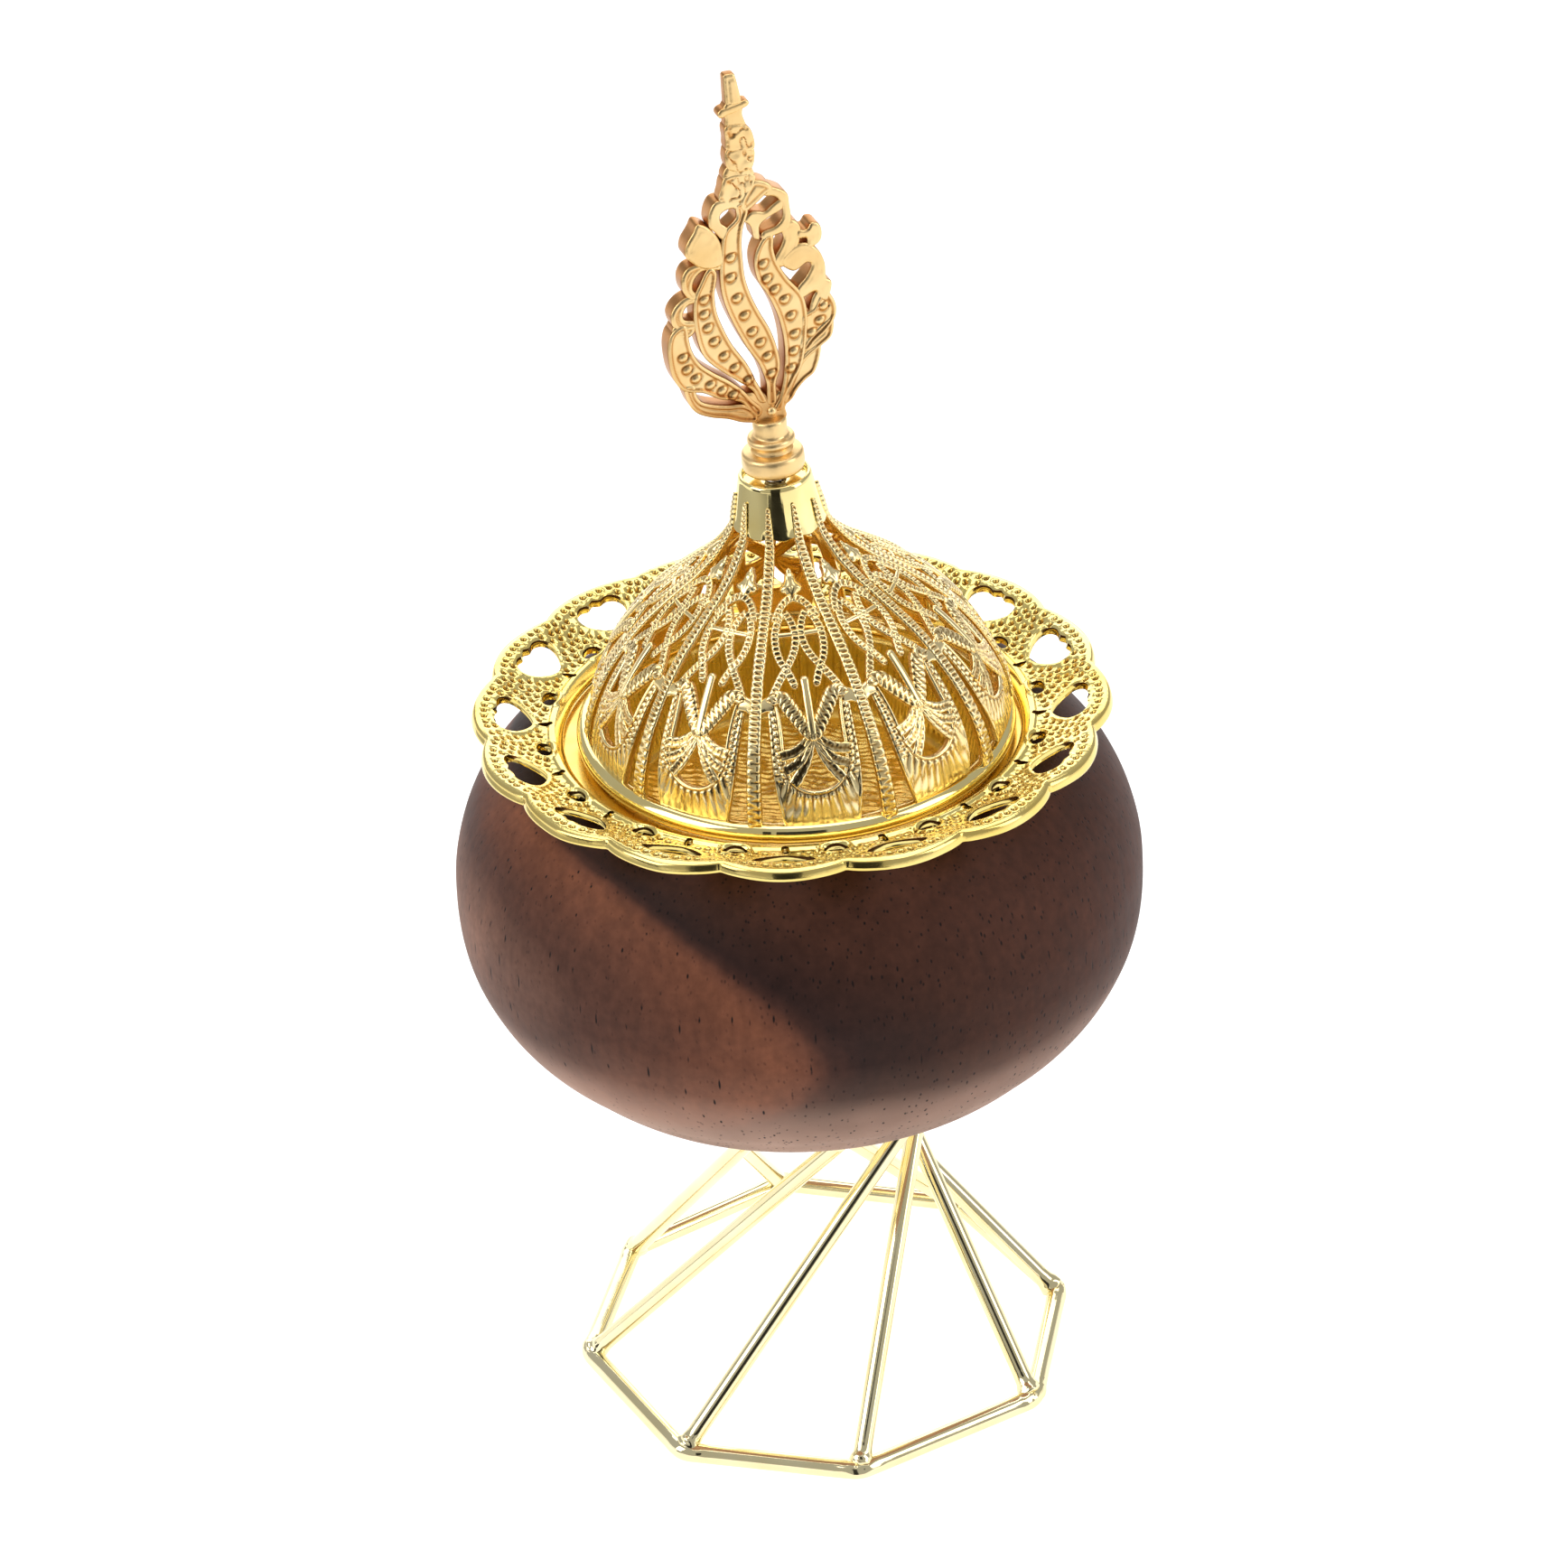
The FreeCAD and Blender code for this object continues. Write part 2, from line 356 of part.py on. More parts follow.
# ---------------------------------------------------------------- finial leaf: cast filigree, one piece with its spire
# outlines in the leaf's own plane: (across, height above the lid ring's centre plane)
LEAF = {
    "blade_a": [(-2.13, 81.3), (-3.85, 79.5), (-4.7, 75.7), (-5.02, 73.0), (-4.95, 70.3), (-4.35, 67.5), (-3.37, 64.55),
                (-2.14, 61.5), (-0.65, 58.45), (-0.03, 55.6), (-0.2, 52.0), (0.9, 52.0), (1.1, 55.3), (1.84, 57.8), (1.59, 60.6),
                (0.85, 63.5), (-0.39, 66.5), (-1.38, 69.4), (-1.94, 72.2), (-2.0, 75.0), (-1.91, 77.5), (-1.44, 79.9),
                (-0.3, 82.1), (-0.6, 83.4), (-2.0, 83.4)],
    "blade_b": [(1.85, 77.5), (0.2, 75.0), (0.23, 71.7), (1.59, 68.65), (2.58, 65.7), (3.08, 62.9), (3.21, 60.2), (2.97, 57.5),
                (2.35, 55.0), (1.35, 52.5), (0.5, 51.0), (1.6, 50.8), (2.3, 52.3), (3.6, 54.6), (4.97, 57.0), (5.71, 59.5),
                (6.2, 62.1), (6.44, 64.7), (6.06, 67.5), (4.06, 70.7), (2.8, 73.7), (2.5, 75.6), (2.6, 77.5)],
    "blade_c": [(-6.53, 74.6), (-8.14, 72.4), (-8.9, 71.0), (-9.3, 68.7), (-9.3, 66.0), (-8.94, 63.3), (-8.45, 61.8),
                (-7.35, 60.2), (-5.5, 58.3), (-3.64, 56.5), (-2.15, 54.8), (-1.3, 52.6), (-0.4, 52.6), (-1.1, 54.6),
                (-1.77, 56.0), (-2.89, 59.0), (-4.61, 62.2), (-5.72, 65.15), (-6.44, 68.0), (-6.5, 70.7), (-5.9, 74.0)],
    "blade_d": [(-11.0, 66.9), (-12.6, 66.3), (-13.3, 64.9), (-13.5, 62.3), (-13.1, 59.5), (-11.9, 57.4), (-9.23, 56.4),
                (-7.1, 54.8), (-5.14, 54.0), (-3.94, 53.3), (-2.8, 51.4), (-1.8, 50.4), (-1.1, 51.5), (-2.5, 53.5),
                (-3.77, 55.2), (-5.63, 57.0), (-7.97, 59.0), (-9.57, 60.75), (-10.5, 62.9), (-10.8, 64.8)],
    "blade_e": [(-11.9, 57.8), (-11.6, 55.2), (-10.57, 53.4), (-8.65, 52.2), (-6.2, 51.3), (-4.0, 50.2), (-2.0, 49.9),
                (-1.9, 51.2), (-3.6, 52.9), (-6.0, 53.4), (-8.4, 54.2), (-9.7, 55.0), (-10.3, 56.2), (-10.4, 57.6)],
    "scallop_1": [(-5.0, 75.6), (-8.06, 75.8), (-9.75, 75.4), (-10.65, 74.1), (-10.6, 72.0), (-9.5, 70.5), (-8.5, 70.9),
                  (-9.2, 72.2), (-8.8, 73.6), (-7.6, 74.5), (-4.9, 74.2)],
    "scallop_2": [(-9.0, 71.3), (-11.0, 70.9), (-12.3, 69.8), (-12.8, 68.5), (-12.1, 66.6), (-9.0, 66.2), (-8.9, 67.2),
                  (-10.8, 67.9), (-11.0, 68.7), (-10.3, 69.8), (-8.9, 70.2)],
    "scallop_3": [(-11.0, 67.3), (-12.4, 67.2), (-12.8, 66.0), (-10.6, 65.0), (-9.2, 66.4)],
    "blade_f": [(9.4, 67.2), (10.6, 65.3), (10.5, 63.2), (9.1, 61.4), (7.4, 60.2), (6.0, 59.0), (5.4, 59.6), (6.0, 62.0),
                (6.2, 64.2), (7.8, 64.9)],
    "blade_g": [(10.3, 63.4), (10.0, 60.3), (8.1, 58.9), (6.2, 57.7), (4.9, 56.6), (5.0, 58.4), (6.2, 60.4), (9.0, 62.6)],
    "blade_h": [(8.2, 59.4), (7.1, 55.4), (5.6, 54.4), (4.2, 53.1), (3.6, 52.2), (2.4, 51.4), (1.6, 51.6), (2.6, 53.3),
                (3.8, 55.5), (4.8, 57.4), (6.4, 59.0)],
    "bud_l": [(-7.66, 81.7), (-8.4, 80.6), (-9.6, 78.9), (-9.85, 77.5), (-8.8, 76.0), (-7.2, 74.8), (-4.7, 75.0), (-4.6, 77.9),
              (-5.2, 79.5), (-6.4, 81.1)],
    "scroll_l": [(-3.0, 84.4), (-4.9, 84.3), (-5.9, 82.8), (-6.1, 81.0), (-5.3, 79.9), (-4.3, 78.6), (-3.2, 79.6),
                 (-3.6, 80.4), (-4.3, 81.2), (-4.2, 82.4), (-2.6, 82.9), (-1.5, 82.2), (-1.5, 84.2)],
    "arc_r": [(-0.8, 82.0), (1.1, 83.0), (2.4, 83.9), (3.4, 84.3), (3.2, 85.2), (1.9, 86.1), (0.8, 86.3), (-0.2, 85.4),
              (-1.4, 83.4)],
    "scroll_r1": [(2.6, 84.9), (4.6, 84.1), (5.5, 83.2), (5.65, 81.4), (5.7, 79.1), (5.2, 77.9), (3.0, 77.4), (1.4, 77.0),
                  (1.3, 78.2), (3.4, 78.8), (4.4, 79.8), (4.4, 82.2), (3.6, 83.2), (2.2, 83.7)],
    "scroll_r2": [(-1.0, 80.6), (0.1, 81.7), (1.4, 81.5), (2.0, 81.3), (3.3, 82.1), (4.6, 82.6), (4.7, 81.2), (2.6, 80.3),
                  (1.2, 79.4), (0.9, 77.3), (0.2, 77.6), (-0.2, 79.6)],
    "band_r1": [(4.0, 78.4), (5.7, 79.2), (6.9, 78.0), (6.6, 75.7), (5.4, 73.3), (3.6, 72.4), (2.4, 73.4), (3.6, 75.2),
                (4.3, 76.8)],
    "band_r2": [(3.4, 73.4), (5.8, 75.3), (7.6, 75.2), (9.1, 73.8), (9.9, 71.6), (9.95, 69.3), (10.6, 68.6), (10.3, 66.9),
                (9.6, 65.8), (8.6, 66.4), (8.2, 67.6), (5.9, 67.0), (5.5, 68.5), (7.1, 70.2), (7.9, 71.8), (7.3, 72.2),
                (5.5, 71.4), (4.4, 72.0)],
    "bud_r": [(8.4, 78.0), (7.7, 77.2), (6.4, 77.5), (6.2, 76.2), (7.6, 75.9), (7.6, 74.4), (8.9, 74.6), (9.7, 75.4),
              (9.8, 77.1), (9.3, 77.9)],
    "link_f": [(9.9, 67.6), (8.2, 67.4), (7.0, 64.6), (7.2, 63.2), (8.2, 64.4), (9.8, 66.2)],
    "hub": [(-3.9, 54.4), (-2.6, 52.1), (-2.3, 49.5), (2.3, 49.5), (2.3, 51.0), (3.2, 52.6), (1.7, 53.6), (0.3, 52.8),
            (-0.8, 54.0)],
    "spire_4": [(-4.3, 84.5), (-0.6, 82.9), (0.6, 85.0), (1.2, 87.0), (-3.2, 87.6), (-3.7, 86.0)],
    "spire_3": [(-3.3, 87.2), (1.2, 86.2), (0.7, 88.4), (-2.5, 89.2)],
    "spire_2": [(-2.5, 88.6), (0.7, 87.9), (1.45, 90.1), (1.35, 91.0), (-2.5, 91.8)],
    "spire_1": [(-2.45, 91.4), (1.35, 90.6), (1.5, 92.8), (0.7, 94.6), (-2.3, 95.1), (-2.5, 93.0)],
    "neck": [(-2.2, 94.6), (0.55, 94.2), (0.3, 96.4), (0.6, 98.2), (-1.7, 98.4), (-2.4, 97.4), (-2.2, 96.2)],
    "arms": [(-3.2, 97.6), (-3.0, 96.4), (-2.0, 96.2), (0.2, 96.8), (1.25, 97.0), (1.3, 97.9), (0.2, 98.4), (-1.8, 98.6)],
    "tip": [(-1.8, 98.0), (0.5, 98.0), (-0.2, 102.1), (-1.0, 102.55), (-1.75, 102.4), (-2.05, 101.6)],
}


def leaf_plate(points):
    pts = [V(u, 0, t) for u, t in points]
    pts.append(pts[0])
    s = Part.Face(Part.makePolygon(pts)).extrude(V(0, leaf_front + leaf_back, 0))
    s.translate(V(0, -leaf_front, 0))
    return s


plates = [leaf_plate(p) for p in LEAF.values()]
leaf = plates[0].fuse(plates[1:]).removeSplitter()
leaf = leaf.cut(Part.makeCylinder(2.45, 12, V(0, 0, base_z0 + 8.0 - 12)))
print("leaf solids", [round(s.Volume, 1) for s in leaf.Solids])
leaf.rotate(V(0, 0, 0), V(0, 0, 1), leaf_turn)
save(lean(leaf), "finial_leaf")
print("height", leaf.BoundBox.ZMax)
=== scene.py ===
import bpy
import math
import numpy as np
from mathutils import Matrix
from mathutils.geometry import delaunay_2d_cdt


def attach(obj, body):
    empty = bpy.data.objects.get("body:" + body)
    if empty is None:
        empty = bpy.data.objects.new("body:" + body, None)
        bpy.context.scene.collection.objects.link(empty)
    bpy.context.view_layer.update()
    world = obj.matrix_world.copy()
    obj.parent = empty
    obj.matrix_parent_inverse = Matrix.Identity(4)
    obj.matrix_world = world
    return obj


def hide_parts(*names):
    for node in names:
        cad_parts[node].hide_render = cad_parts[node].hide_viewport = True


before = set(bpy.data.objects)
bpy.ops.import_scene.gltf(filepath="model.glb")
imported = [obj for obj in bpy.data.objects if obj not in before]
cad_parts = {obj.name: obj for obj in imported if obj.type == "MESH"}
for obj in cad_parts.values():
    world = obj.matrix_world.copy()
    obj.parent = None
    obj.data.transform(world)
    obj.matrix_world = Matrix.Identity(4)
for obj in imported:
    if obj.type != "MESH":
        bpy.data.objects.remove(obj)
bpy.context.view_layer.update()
MM = 0.001
SCENE = bpy.context.scene

# ------------------------------------------------------------------ axis of the dome and finial
LEAN = math.radians(2.5)
FOOT = np.array([1.1, 0.0, 109.1])


def lean(p):
    """points in dome coordinates (mm) to the frame (mm)"""
    p = np.atleast_2d(np.asarray(p, float))
    x = p[:, 0] * math.cos(LEAN) - p[:, 2] * math.sin(LEAN)
    z = p[:, 0] * math.sin(LEAN) + p[:, 2] * math.cos(LEAN)
    return np.stack([x, p[:, 1], z], 1) + FOOT


# ------------------------------------------------------------------ curves
def catmull(points, n=12, closed=False):
    """smooth curve through points, n samples per span"""
    p = np.asarray(points, float)
    k = len(p)
    if closed:
        q = np.vstack([p[-1], p, p[0], p[1]])
        spans = k
    else:
        q = np.vstack([2 * p[0] - p[1], p, 2 * p[-1] - p[-2]])
        spans = k - 1
    out = []
    for i in range(spans):
        p0, p1, p2, p3 = q[i], q[i + 1], q[i + 2], q[i + 3]
        # centripetal spacing keeps tight corners from looping
        d1 = max(np.linalg.norm(p1 - p0), 1e-6) ** 0.5
        d2 = max(np.linalg.norm(p2 - p1), 1e-6) ** 0.5
        d3 = max(np.linalg.norm(p3 - p2), 1e-6) ** 0.5
        m1 = (p1 - p0) / d1 - (p2 - p0) / (d1 + d2) + (p2 - p1) / d2
        m2 = (p2 - p1) / d2 - (p3 - p1) / (d2 + d3) + (p3 - p2) / d3
        m1, m2 = m1 * d2, m2 * d2
        t = np.linspace(0, 1, n, endpoint=False)[:, None]
        h00 = 2 * t ** 3 - 3 * t ** 2 + 1
        h10 = t ** 3 - 2 * t ** 2 + t
        h01 = -2 * t ** 3 + 3 * t ** 2
        h11 = t ** 3 - t ** 2
        out.append(h00 * p1 + h10 * m1 + h01 * p2 + h11 * m2)
    out = np.vstack(out)
    if not closed:
        out = np.vstack([out, p[-1]])
    return out


def resample(p, step, closed=False):
    p = np.asarray(p, float)
    q = np.vstack([p, p[0]]) if closed else p
    d = np.r_[0, np.cumsum(np.linalg.norm(np.diff(q, axis=0), axis=1))]
    n = max(int(round(d[-1] / step)), 3)
    s = np.linspace(0, d[-1], n + 1)
    out = np.stack([np.interp(s, d, q[:, i]) for i in range(q.shape[1])], 1)
    return out[:-1] if closed else out


def arclen(p):
    return np.r_[0, np.cumsum(np.linalg.norm(np.diff(p, axis=0), axis=1))]


def hash_noise(x, seed=0):
    """smooth 1-D noise in -1..1"""
    x = np.asarray(x, float)
    i = np.floor(x)
    f = x - i

    def h(k):
        v = np.sin(k * 127.1 + seed * 311.7) * 43758.5453
        return (v - np.floor(v)) * 2 - 1
    u = f * f * (3 - 2 * f)
    return h(i) * (1 - u) + h(i + 1) * u


def noise2(x, y, seed=0):
    """smooth 2-D noise in -1..1"""
    x = np.asarray(x, float)
    y = np.asarray(y, float)
    ix, iy = np.floor(x), np.floor(y)
    fx, fy = x - ix, y - iy

    def h(a, b):
        v = np.sin(a * 127.1 + b * 269.5 + seed * 74.7) * 43758.5453
        return (v - np.floor(v)) * 2 - 1
    u = fx * fx * (3 - 2 * fx)
    v = fy * fy * (3 - 2 * fy)
    return ((h(ix, iy) * (1 - u) + h(ix + 1, iy) * u) * (1 - v)
            + (h(ix, iy + 1) * (1 - u) + h(ix + 1, iy + 1) * u) * v)


# ------------------------------------------------------------------ meshes
class Soup:
    """collects closed pieces into one mesh"""

    def __init__(self):
        self.v = []
        self.t = []
        self.q = []
        self.w = []
        self.n = 0

    def add(self, verts, tris=None, quads=None, painted_shade=None):
        verts = np.asarray(verts, float)
        # the per-vertex factor is painted shade, 1 where unshaded
        self.w.append(np.ones(len(verts)) if painted_shade is None else np.clip(np.asarray(painted_shade, float).ravel(), 0, 1))
        if tris is not None and len(tris):
            self.t.append(np.asarray(tris, np.int64).reshape(-1, 3) + self.n)
        if quads is not None and len(quads):
            self.q.append(np.asarray(quads, np.int64).reshape(-1, 4) + self.n)
        self.v.append(verts)
        self.n += len(verts)

    def arrays(self):
        v = np.vstack(self.v)
        t = np.vstack(self.t) if self.t else np.zeros((0, 3), np.int64)
        q = np.vstack(self.q) if self.q else np.zeros((0, 4), np.int64)
        return v, t, q


def build(name, soup, mat, body, replaces=(), sharp=None, scale=MM):
    if isinstance(soup, Soup):
        v, t, q = soup.arrays()
        painted_shade = np.concatenate(soup.w)
    else:
        v, t, q = soup[:3]
        painted_shade = soup[3] if len(soup) > 3 else np.ones(len(v))
    me = bpy.data.meshes.new(name)
    me.vertices.add(len(v))
    me.vertices.foreach_set("co", (v * scale).astype(np.float32).ravel())
    nl = len(t) * 3 + len(q) * 4
    me.loops.add(nl)
    me.loops.foreach_set("vertex_index", np.r_[t.ravel(), q.ravel()].astype(np.int32))
    npoly = len(t) + len(q)
    me.polygons.add(npoly)
    starts = np.r_[np.arange(len(t)) * 3, len(t) * 3 + np.arange(len(q)) * 4].astype(np.int32)
    me.polygons.foreach_set("loop_start", starts)
    me.update(calc_edges=True)
    me.validate()
    # the painted shade factor goes to the material as a mesh attribute
    if len(me.vertices) == len(painted_shade):
        me.attributes.new("painted_shade", "FLOAT", "POINT").data.foreach_set("value", painted_shade.astype(np.float32))
    me.polygons.foreach_set("use_smooth", np.ones(len(me.polygons), bool))
    if sharp is not None:
        me.set_sharp_from_angle(angle=math.radians(sharp))
    ob = bpy.data.objects.new(name, me)
    SCENE.collection.objects.link(ob)
    me.materials.append(mat)
    if body is not None:
        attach(ob, body)
        if replaces:
            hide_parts(*replaces)
    return ob


def grid_faces(rows, cols, wrap_rows=False, wrap_cols=True, flip=False):
    r = rows if wrap_rows else rows - 1
    c = cols if wrap_cols else cols - 1
    i, j = np.meshgrid(np.arange(r), np.arange(c), indexing="ij")
    i2 = (i + 1) % rows
    j2 = (j + 1) % cols
    f = np.stack([i * cols + j, i * cols + j2, i2 * cols + j2, i2 * cols + j], -1).reshape(-1, 4)
    return f[:, ::-1] if flip else f


def lathe(soup, profile, seg, move=None, move_fn=None):
    """profile: closed outline (r, z) counter-clockwise in the r-z plane (outer side up); turned about Z"""
    p = np.asarray(profile, float)
    th = np.linspace(0, 2 * np.pi, seg, endpoint=False)
    r = p[:, 0][:, None]
    z = np.repeat(p[:, 1][:, None], seg, 1)
    x = r * np.cos(th)
    y = r * np.sin(th)
    v = np.stack([x.ravel(), y.ravel(), z.ravel()], 1)
    if move_fn is not None:
        v = move_fn(v, np.repeat(p[:, 0], seg), np.tile(th, len(p)), np.repeat(p[:, 1], seg))
    on_axis = p[:, 0] < 1e-6
    closed = not on_axis.any()
    rows = len(p)
    f = grid_faces(rows, seg, wrap_rows=closed)
    tris = None
    if not closed:
        # profile starts and ends on the axis: replace the first and last rings by single points
        keep = v.reshape(rows, seg, 3)
        top, bot = keep[0, 0], keep[-1, 0]
        body = keep[1:-1].reshape(-1, 3)
        f = grid_faces(rows - 2, seg)
        nb = len(body)
        v = np.vstack([body, top[None], bot[None]])
        j = np.arange(seg)
        j2 = (j + 1) % seg
        tris = np.vstack([np.stack([np.full(seg, nb), j2, j], 1),
                          np.stack([np.full(seg, nb + 1), (rows - 3) * seg + j, (rows - 3) * seg + j2], 1)])
    if move is not None:
        v = move(v)
    soup.add(v, tris, f)


def sweep(soup, P, N, X, Y, closed=False, cap=True, painted_shade=None):
    """cross-sections X[i, j] (sideways), Y[i, j] (along N) swept along P with surface normals N"""
    P = np.asarray(P, float)
    N = np.asarray(N, float)
    if closed:
        T = np.roll(P, -1, 0) - np.roll(P, 1, 0)
    else:
        T = np.gradient(P, axis=0)
    T /= np.linalg.norm(T, axis=1)[:, None] + 1e-12
    N = N - (N * T).sum(1)[:, None] * T
    N /= np.linalg.norm(N, axis=1)[:, None] + 1e-12
    B = np.cross(T, N)
    n, m = X.shape
    v = P[:, None, :] + B[:, None, :] * X[:, :, None] + N[:, None, :] * Y[:, :, None]
    f = grid_faces(n, m, wrap_rows=closed)
    verts = v.reshape(-1, 3)
    tris = None
    if cap and not closed:
        c0 = v[0].mean(0)
        c1 = v[-1].mean(0)
        verts = np.vstack([verts, c0, c1])
        j = np.arange(m)
        j2 = (j + 1) % m
        k = n * m
        tris = np.vstack([np.stack([np.full(m, k), j2, j], 1),
                          np.stack([np.full(m, k + 1), (n - 1) * m + j, (n - 1) * m + j2], 1)])
    if painted_shade is not None:
        painted_shade = np.r_[np.broadcast_to(painted_shade, (n, m)).ravel(), np.ones(len(verts) - n * m)]
    soup.add(verts, tris, f, painted_shade)


def round_section(n, m, w, up, down, power=0.75):
    """flattened strand section; w, up, down may vary along the path (arrays of n)"""
    a = np.linspace(0, 2 * np.pi, m, endpoint=False)
    ca, sa = np.cos(a), np.sin(a)
    cx = np.sign(ca) * np.abs(ca) ** power
    sy = np.sign(sa) * np.abs(sa) ** power
    w = np.broadcast_to(np.asarray(w, float), (n,))
    up = np.broadcast_to(np.asarray(up, float), (n,))
    down = np.broadcast_to(np.asarray(down, float), (n,))
    X = w[:, None] * cx[None, :]
    Y = np.where(sy[None, :] > 0, up[:, None] * sy[None, :], down[:, None] * sy[None, :])
    return X, Y, cx, sy


def inside(points, loops):
    """even-odd test against all loops"""
    x, y = points[:, 0], points[:, 1]
    res = np.zeros(len(points), bool)
    for L in loops:
        x1, y1 = L[:, 0], L[:, 1]
        x2, y2 = np.roll(x1, -1), np.roll(y1, -1)
        for s in range(0, len(points), 20000):
            xs, ys = x[s:s + 20000, None], y[s:s + 20000, None]
            c = ((y1[None] > ys) != (y2[None] > ys))
            with np.errstate(divide="ignore", invalid="ignore"):
                xi = (x2 - x1)[None] * (ys - y1[None]) / (y2 - y1)[None] + x1[None]
            res[s:s + 20000] ^= (np.count_nonzero(c & (xs < xi), axis=1) % 2).astype(bool)
    return res


def dist_to(points, loops):
    """distance from each point to the nearest loop segment"""
    best = np.full(len(points), 1e9)
    for L in loops:
        A = L
        Bp = np.roll(L, -1, 0)
        d = Bp - A
        dd = (d * d).sum(1) + 1e-12
        for s in range(0, len(points), 4000):
            p = points[s:s + 4000]
            t = np.clip(((p[:, None, :] - A[None]) * d[None]).sum(2) / dd[None], 0, 1)
            q = A[None] + t[:, :, None] * d[None]
            best[s:s + 4000] = np.minimum(best[s:s + 4000], np.sqrt(((p[:, None, :] - q) ** 2).sum(2)).min(1))
    return best


def loop_normals(L):
    """outward normals of a counter-clockwise loop"""
    t = np.roll(L, -1, 0) - np.roll(L, 1, 0)
    t /= np.linalg.norm(t, axis=1)[:, None] + 1e-12
    return np.stack([t[:, 1], -t[:, 0]], 1)


def ccw(L):
    a = 0.5 * np.sum(L[:, 0] * np.roll(L[:, 1], -1) - np.roll(L[:, 0], -1) * L[:, 1])
    return L if a > 0 else L[::-1]


def fill(loops, spacing, clear=0.6):
    """triangles of the region between the first loop and the holes, with a hexagonal field of inner points"""
    allp = np.vstack(loops)
    lo, hi = loops[0].min(0), loops[0].max(0)
    pts = np.zeros((0, 2))
    if spacing:
        ys = np.arange(lo[1], hi[1], spacing * 0.866)
        rows = []
        for k, yy in enumerate(ys):
            xs = np.arange(lo[0] + (spacing / 2 if k % 2 else 0), hi[0], spacing)
            rows.append(np.stack([xs, np.full(len(xs), yy)], 1))
        g = np.vstack(rows)
        g = g[inside(g, loops)]
        if len(g):
            g = g[dist_to(g, loops) > clear * spacing]
        pts = g
    coords = np.vstack([allp, pts])
    edges = []
    k = 0
    for L in loops:
        m = len(L)
        edges += [(k + i, k + (i + 1) % m) for i in range(m)]
        k += m
    out = delaunay_2d_cdt([tuple(c) for c in coords], edges, [], 0, 1e-7, True)
    vo = np.array([tuple(c) for c in out[0]])
    tri = np.array([f for f in out[2] if len(f) == 3], np.int64)
    orig = out[3]
    # map output vertices to input ones
    idx = np.array([o[0] if len(o) else -1 for o in orig])
    cen = vo[tri].mean(1)
    tri = tri[inside(cen, loops)]
    a = vo[tri]
    area = 0.5 * ((a[:, 1, 0] - a[:, 0, 0]) * (a[:, 2, 1] - a[:, 0, 1]) - (a[:, 2, 0] - a[:, 0, 0]) * (a[:, 1, 1] - a[:, 0, 1]))
    tri[area < 0] = tri[area < 0][:, ::-1]
    if (idx < 0).any():
        # a crossing made a new vertex: append it
        extra = np.where(idx < 0)[0]
        coords = np.vstack([coords, vo[extra]])
        for n_, e in enumerate(extra):
            idx[e] = len(coords) - len(extra) + n_
    return coords, idx[tri]


def plate(soup, loops, spacing, to3d, top, wall_out, wall_hole, bottom_spacing=None, edge_top=None):
    """a closed plate with rounded walls. loops: outer loop then holes (2-D). top(xy, dist) is the height of the
    face; walls are lists of (outward offset, height) from the face edge down to the back."""
    loops = [ccw(loops[0])] + [ccw(h) for h in loops[1:]]
    coords, tri = fill(loops, spacing)
    d = dist_to(coords, loops)
    d[:sum(len(L) for L in loops)] = 0
    h = top(coords, d)
    w = np.ones(len(coords))
    if isinstance(h, tuple):
        h, w = h
    W = [w]
    V = [to3d(coords, h)]
    T = [tri]
    Q = []
    base = len(coords)
    k = 0
    last_loops = []
    last_index = []
    for li, L in enumerate(loops):
        m = len(L)
        nrm = loop_normals(L) * (1 if li == 0 else -1)
        prev = np.arange(k, k + m)
        wall = wall_out if li == 0 else wall_hole
        hh = h[k:k + m]
        for (o, z) in wall:
            p = L + nrm * o
            zz = np.full(m, z) if z <= 0 else np.full(m, z)
            V.append(to3d(p, zz))
            # painted shade: the walls darken toward the back
            W.append(np.full(m, 0.9 if z > -0.3 else 0.75))
            cur = np.arange(base, base + m)
            base += m
            j = np.arange(m)
            j2 = (j + 1) % m
            q = np.stack([prev[j], cur[j], cur[j2], prev[j2]], 1)
            if li > 0:
                q = q[:, ::-1]
            Q.append(q)
            prev = cur
            lastp = p
        last_loops.append(lastp)
        last_index.append(prev)
        k += m
    zb = wall_out[-1][1]
    c2, t2 = fill(last_loops, bottom_spacing)
    nb = sum(len(L) for L in last_loops)
    extra = c2[nb:]
    remap = np.r_[np.concatenate(last_index), np.arange(base, base + len(extra))]
    if len(extra):
        V.append(to3d(extra, np.full(len(extra), zb)))
        # painted shade: the back face is darkened
        W.append(np.full(len(extra), 0.8))
    T.append(remap[t2][:, ::-1])
    soup.add(np.vstack(V), np.vstack(T), np.vstack(Q), np.concatenate(W))


def tube_path(soup, P, radius, seg=24, closed=False, cap=True, shape=None):
    P = np.asarray(P, float)
    n = len(P)
    if closed:
        T = np.roll(P, -1, 0) - np.roll(P, 1, 0)
    else:
        T = np.gradient(P, axis=0)
    T /= np.linalg.norm(T, axis=1)[:, None]
    ref = np.array([0, 0, 1.0]) if abs(T[0][2]) < 0.9 else np.array([1.0, 0, 0])
    N = np.zeros_like(P)
    u = ref - (ref @ T[0]) * T[0]
    u /= np.linalg.norm(u)
    for i in range(n):
        u = u - (u @ T[i]) * T[i]
        u /= np.linalg.norm(u)
        N[i] = u
    r = np.broadcast_to(np.asarray(radius, float), (n,))
    a = np.linspace(0, 2 * np.pi, seg, endpoint=False)
    X = r[:, None] * np.cos(a)[None]
    Y = r[:, None] * np.sin(a)[None]
    if shape is not None:
        X, Y = shape(X, Y, arclen(P), a)
    sweep(soup, P, N, X, Y, closed=closed, cap=cap)


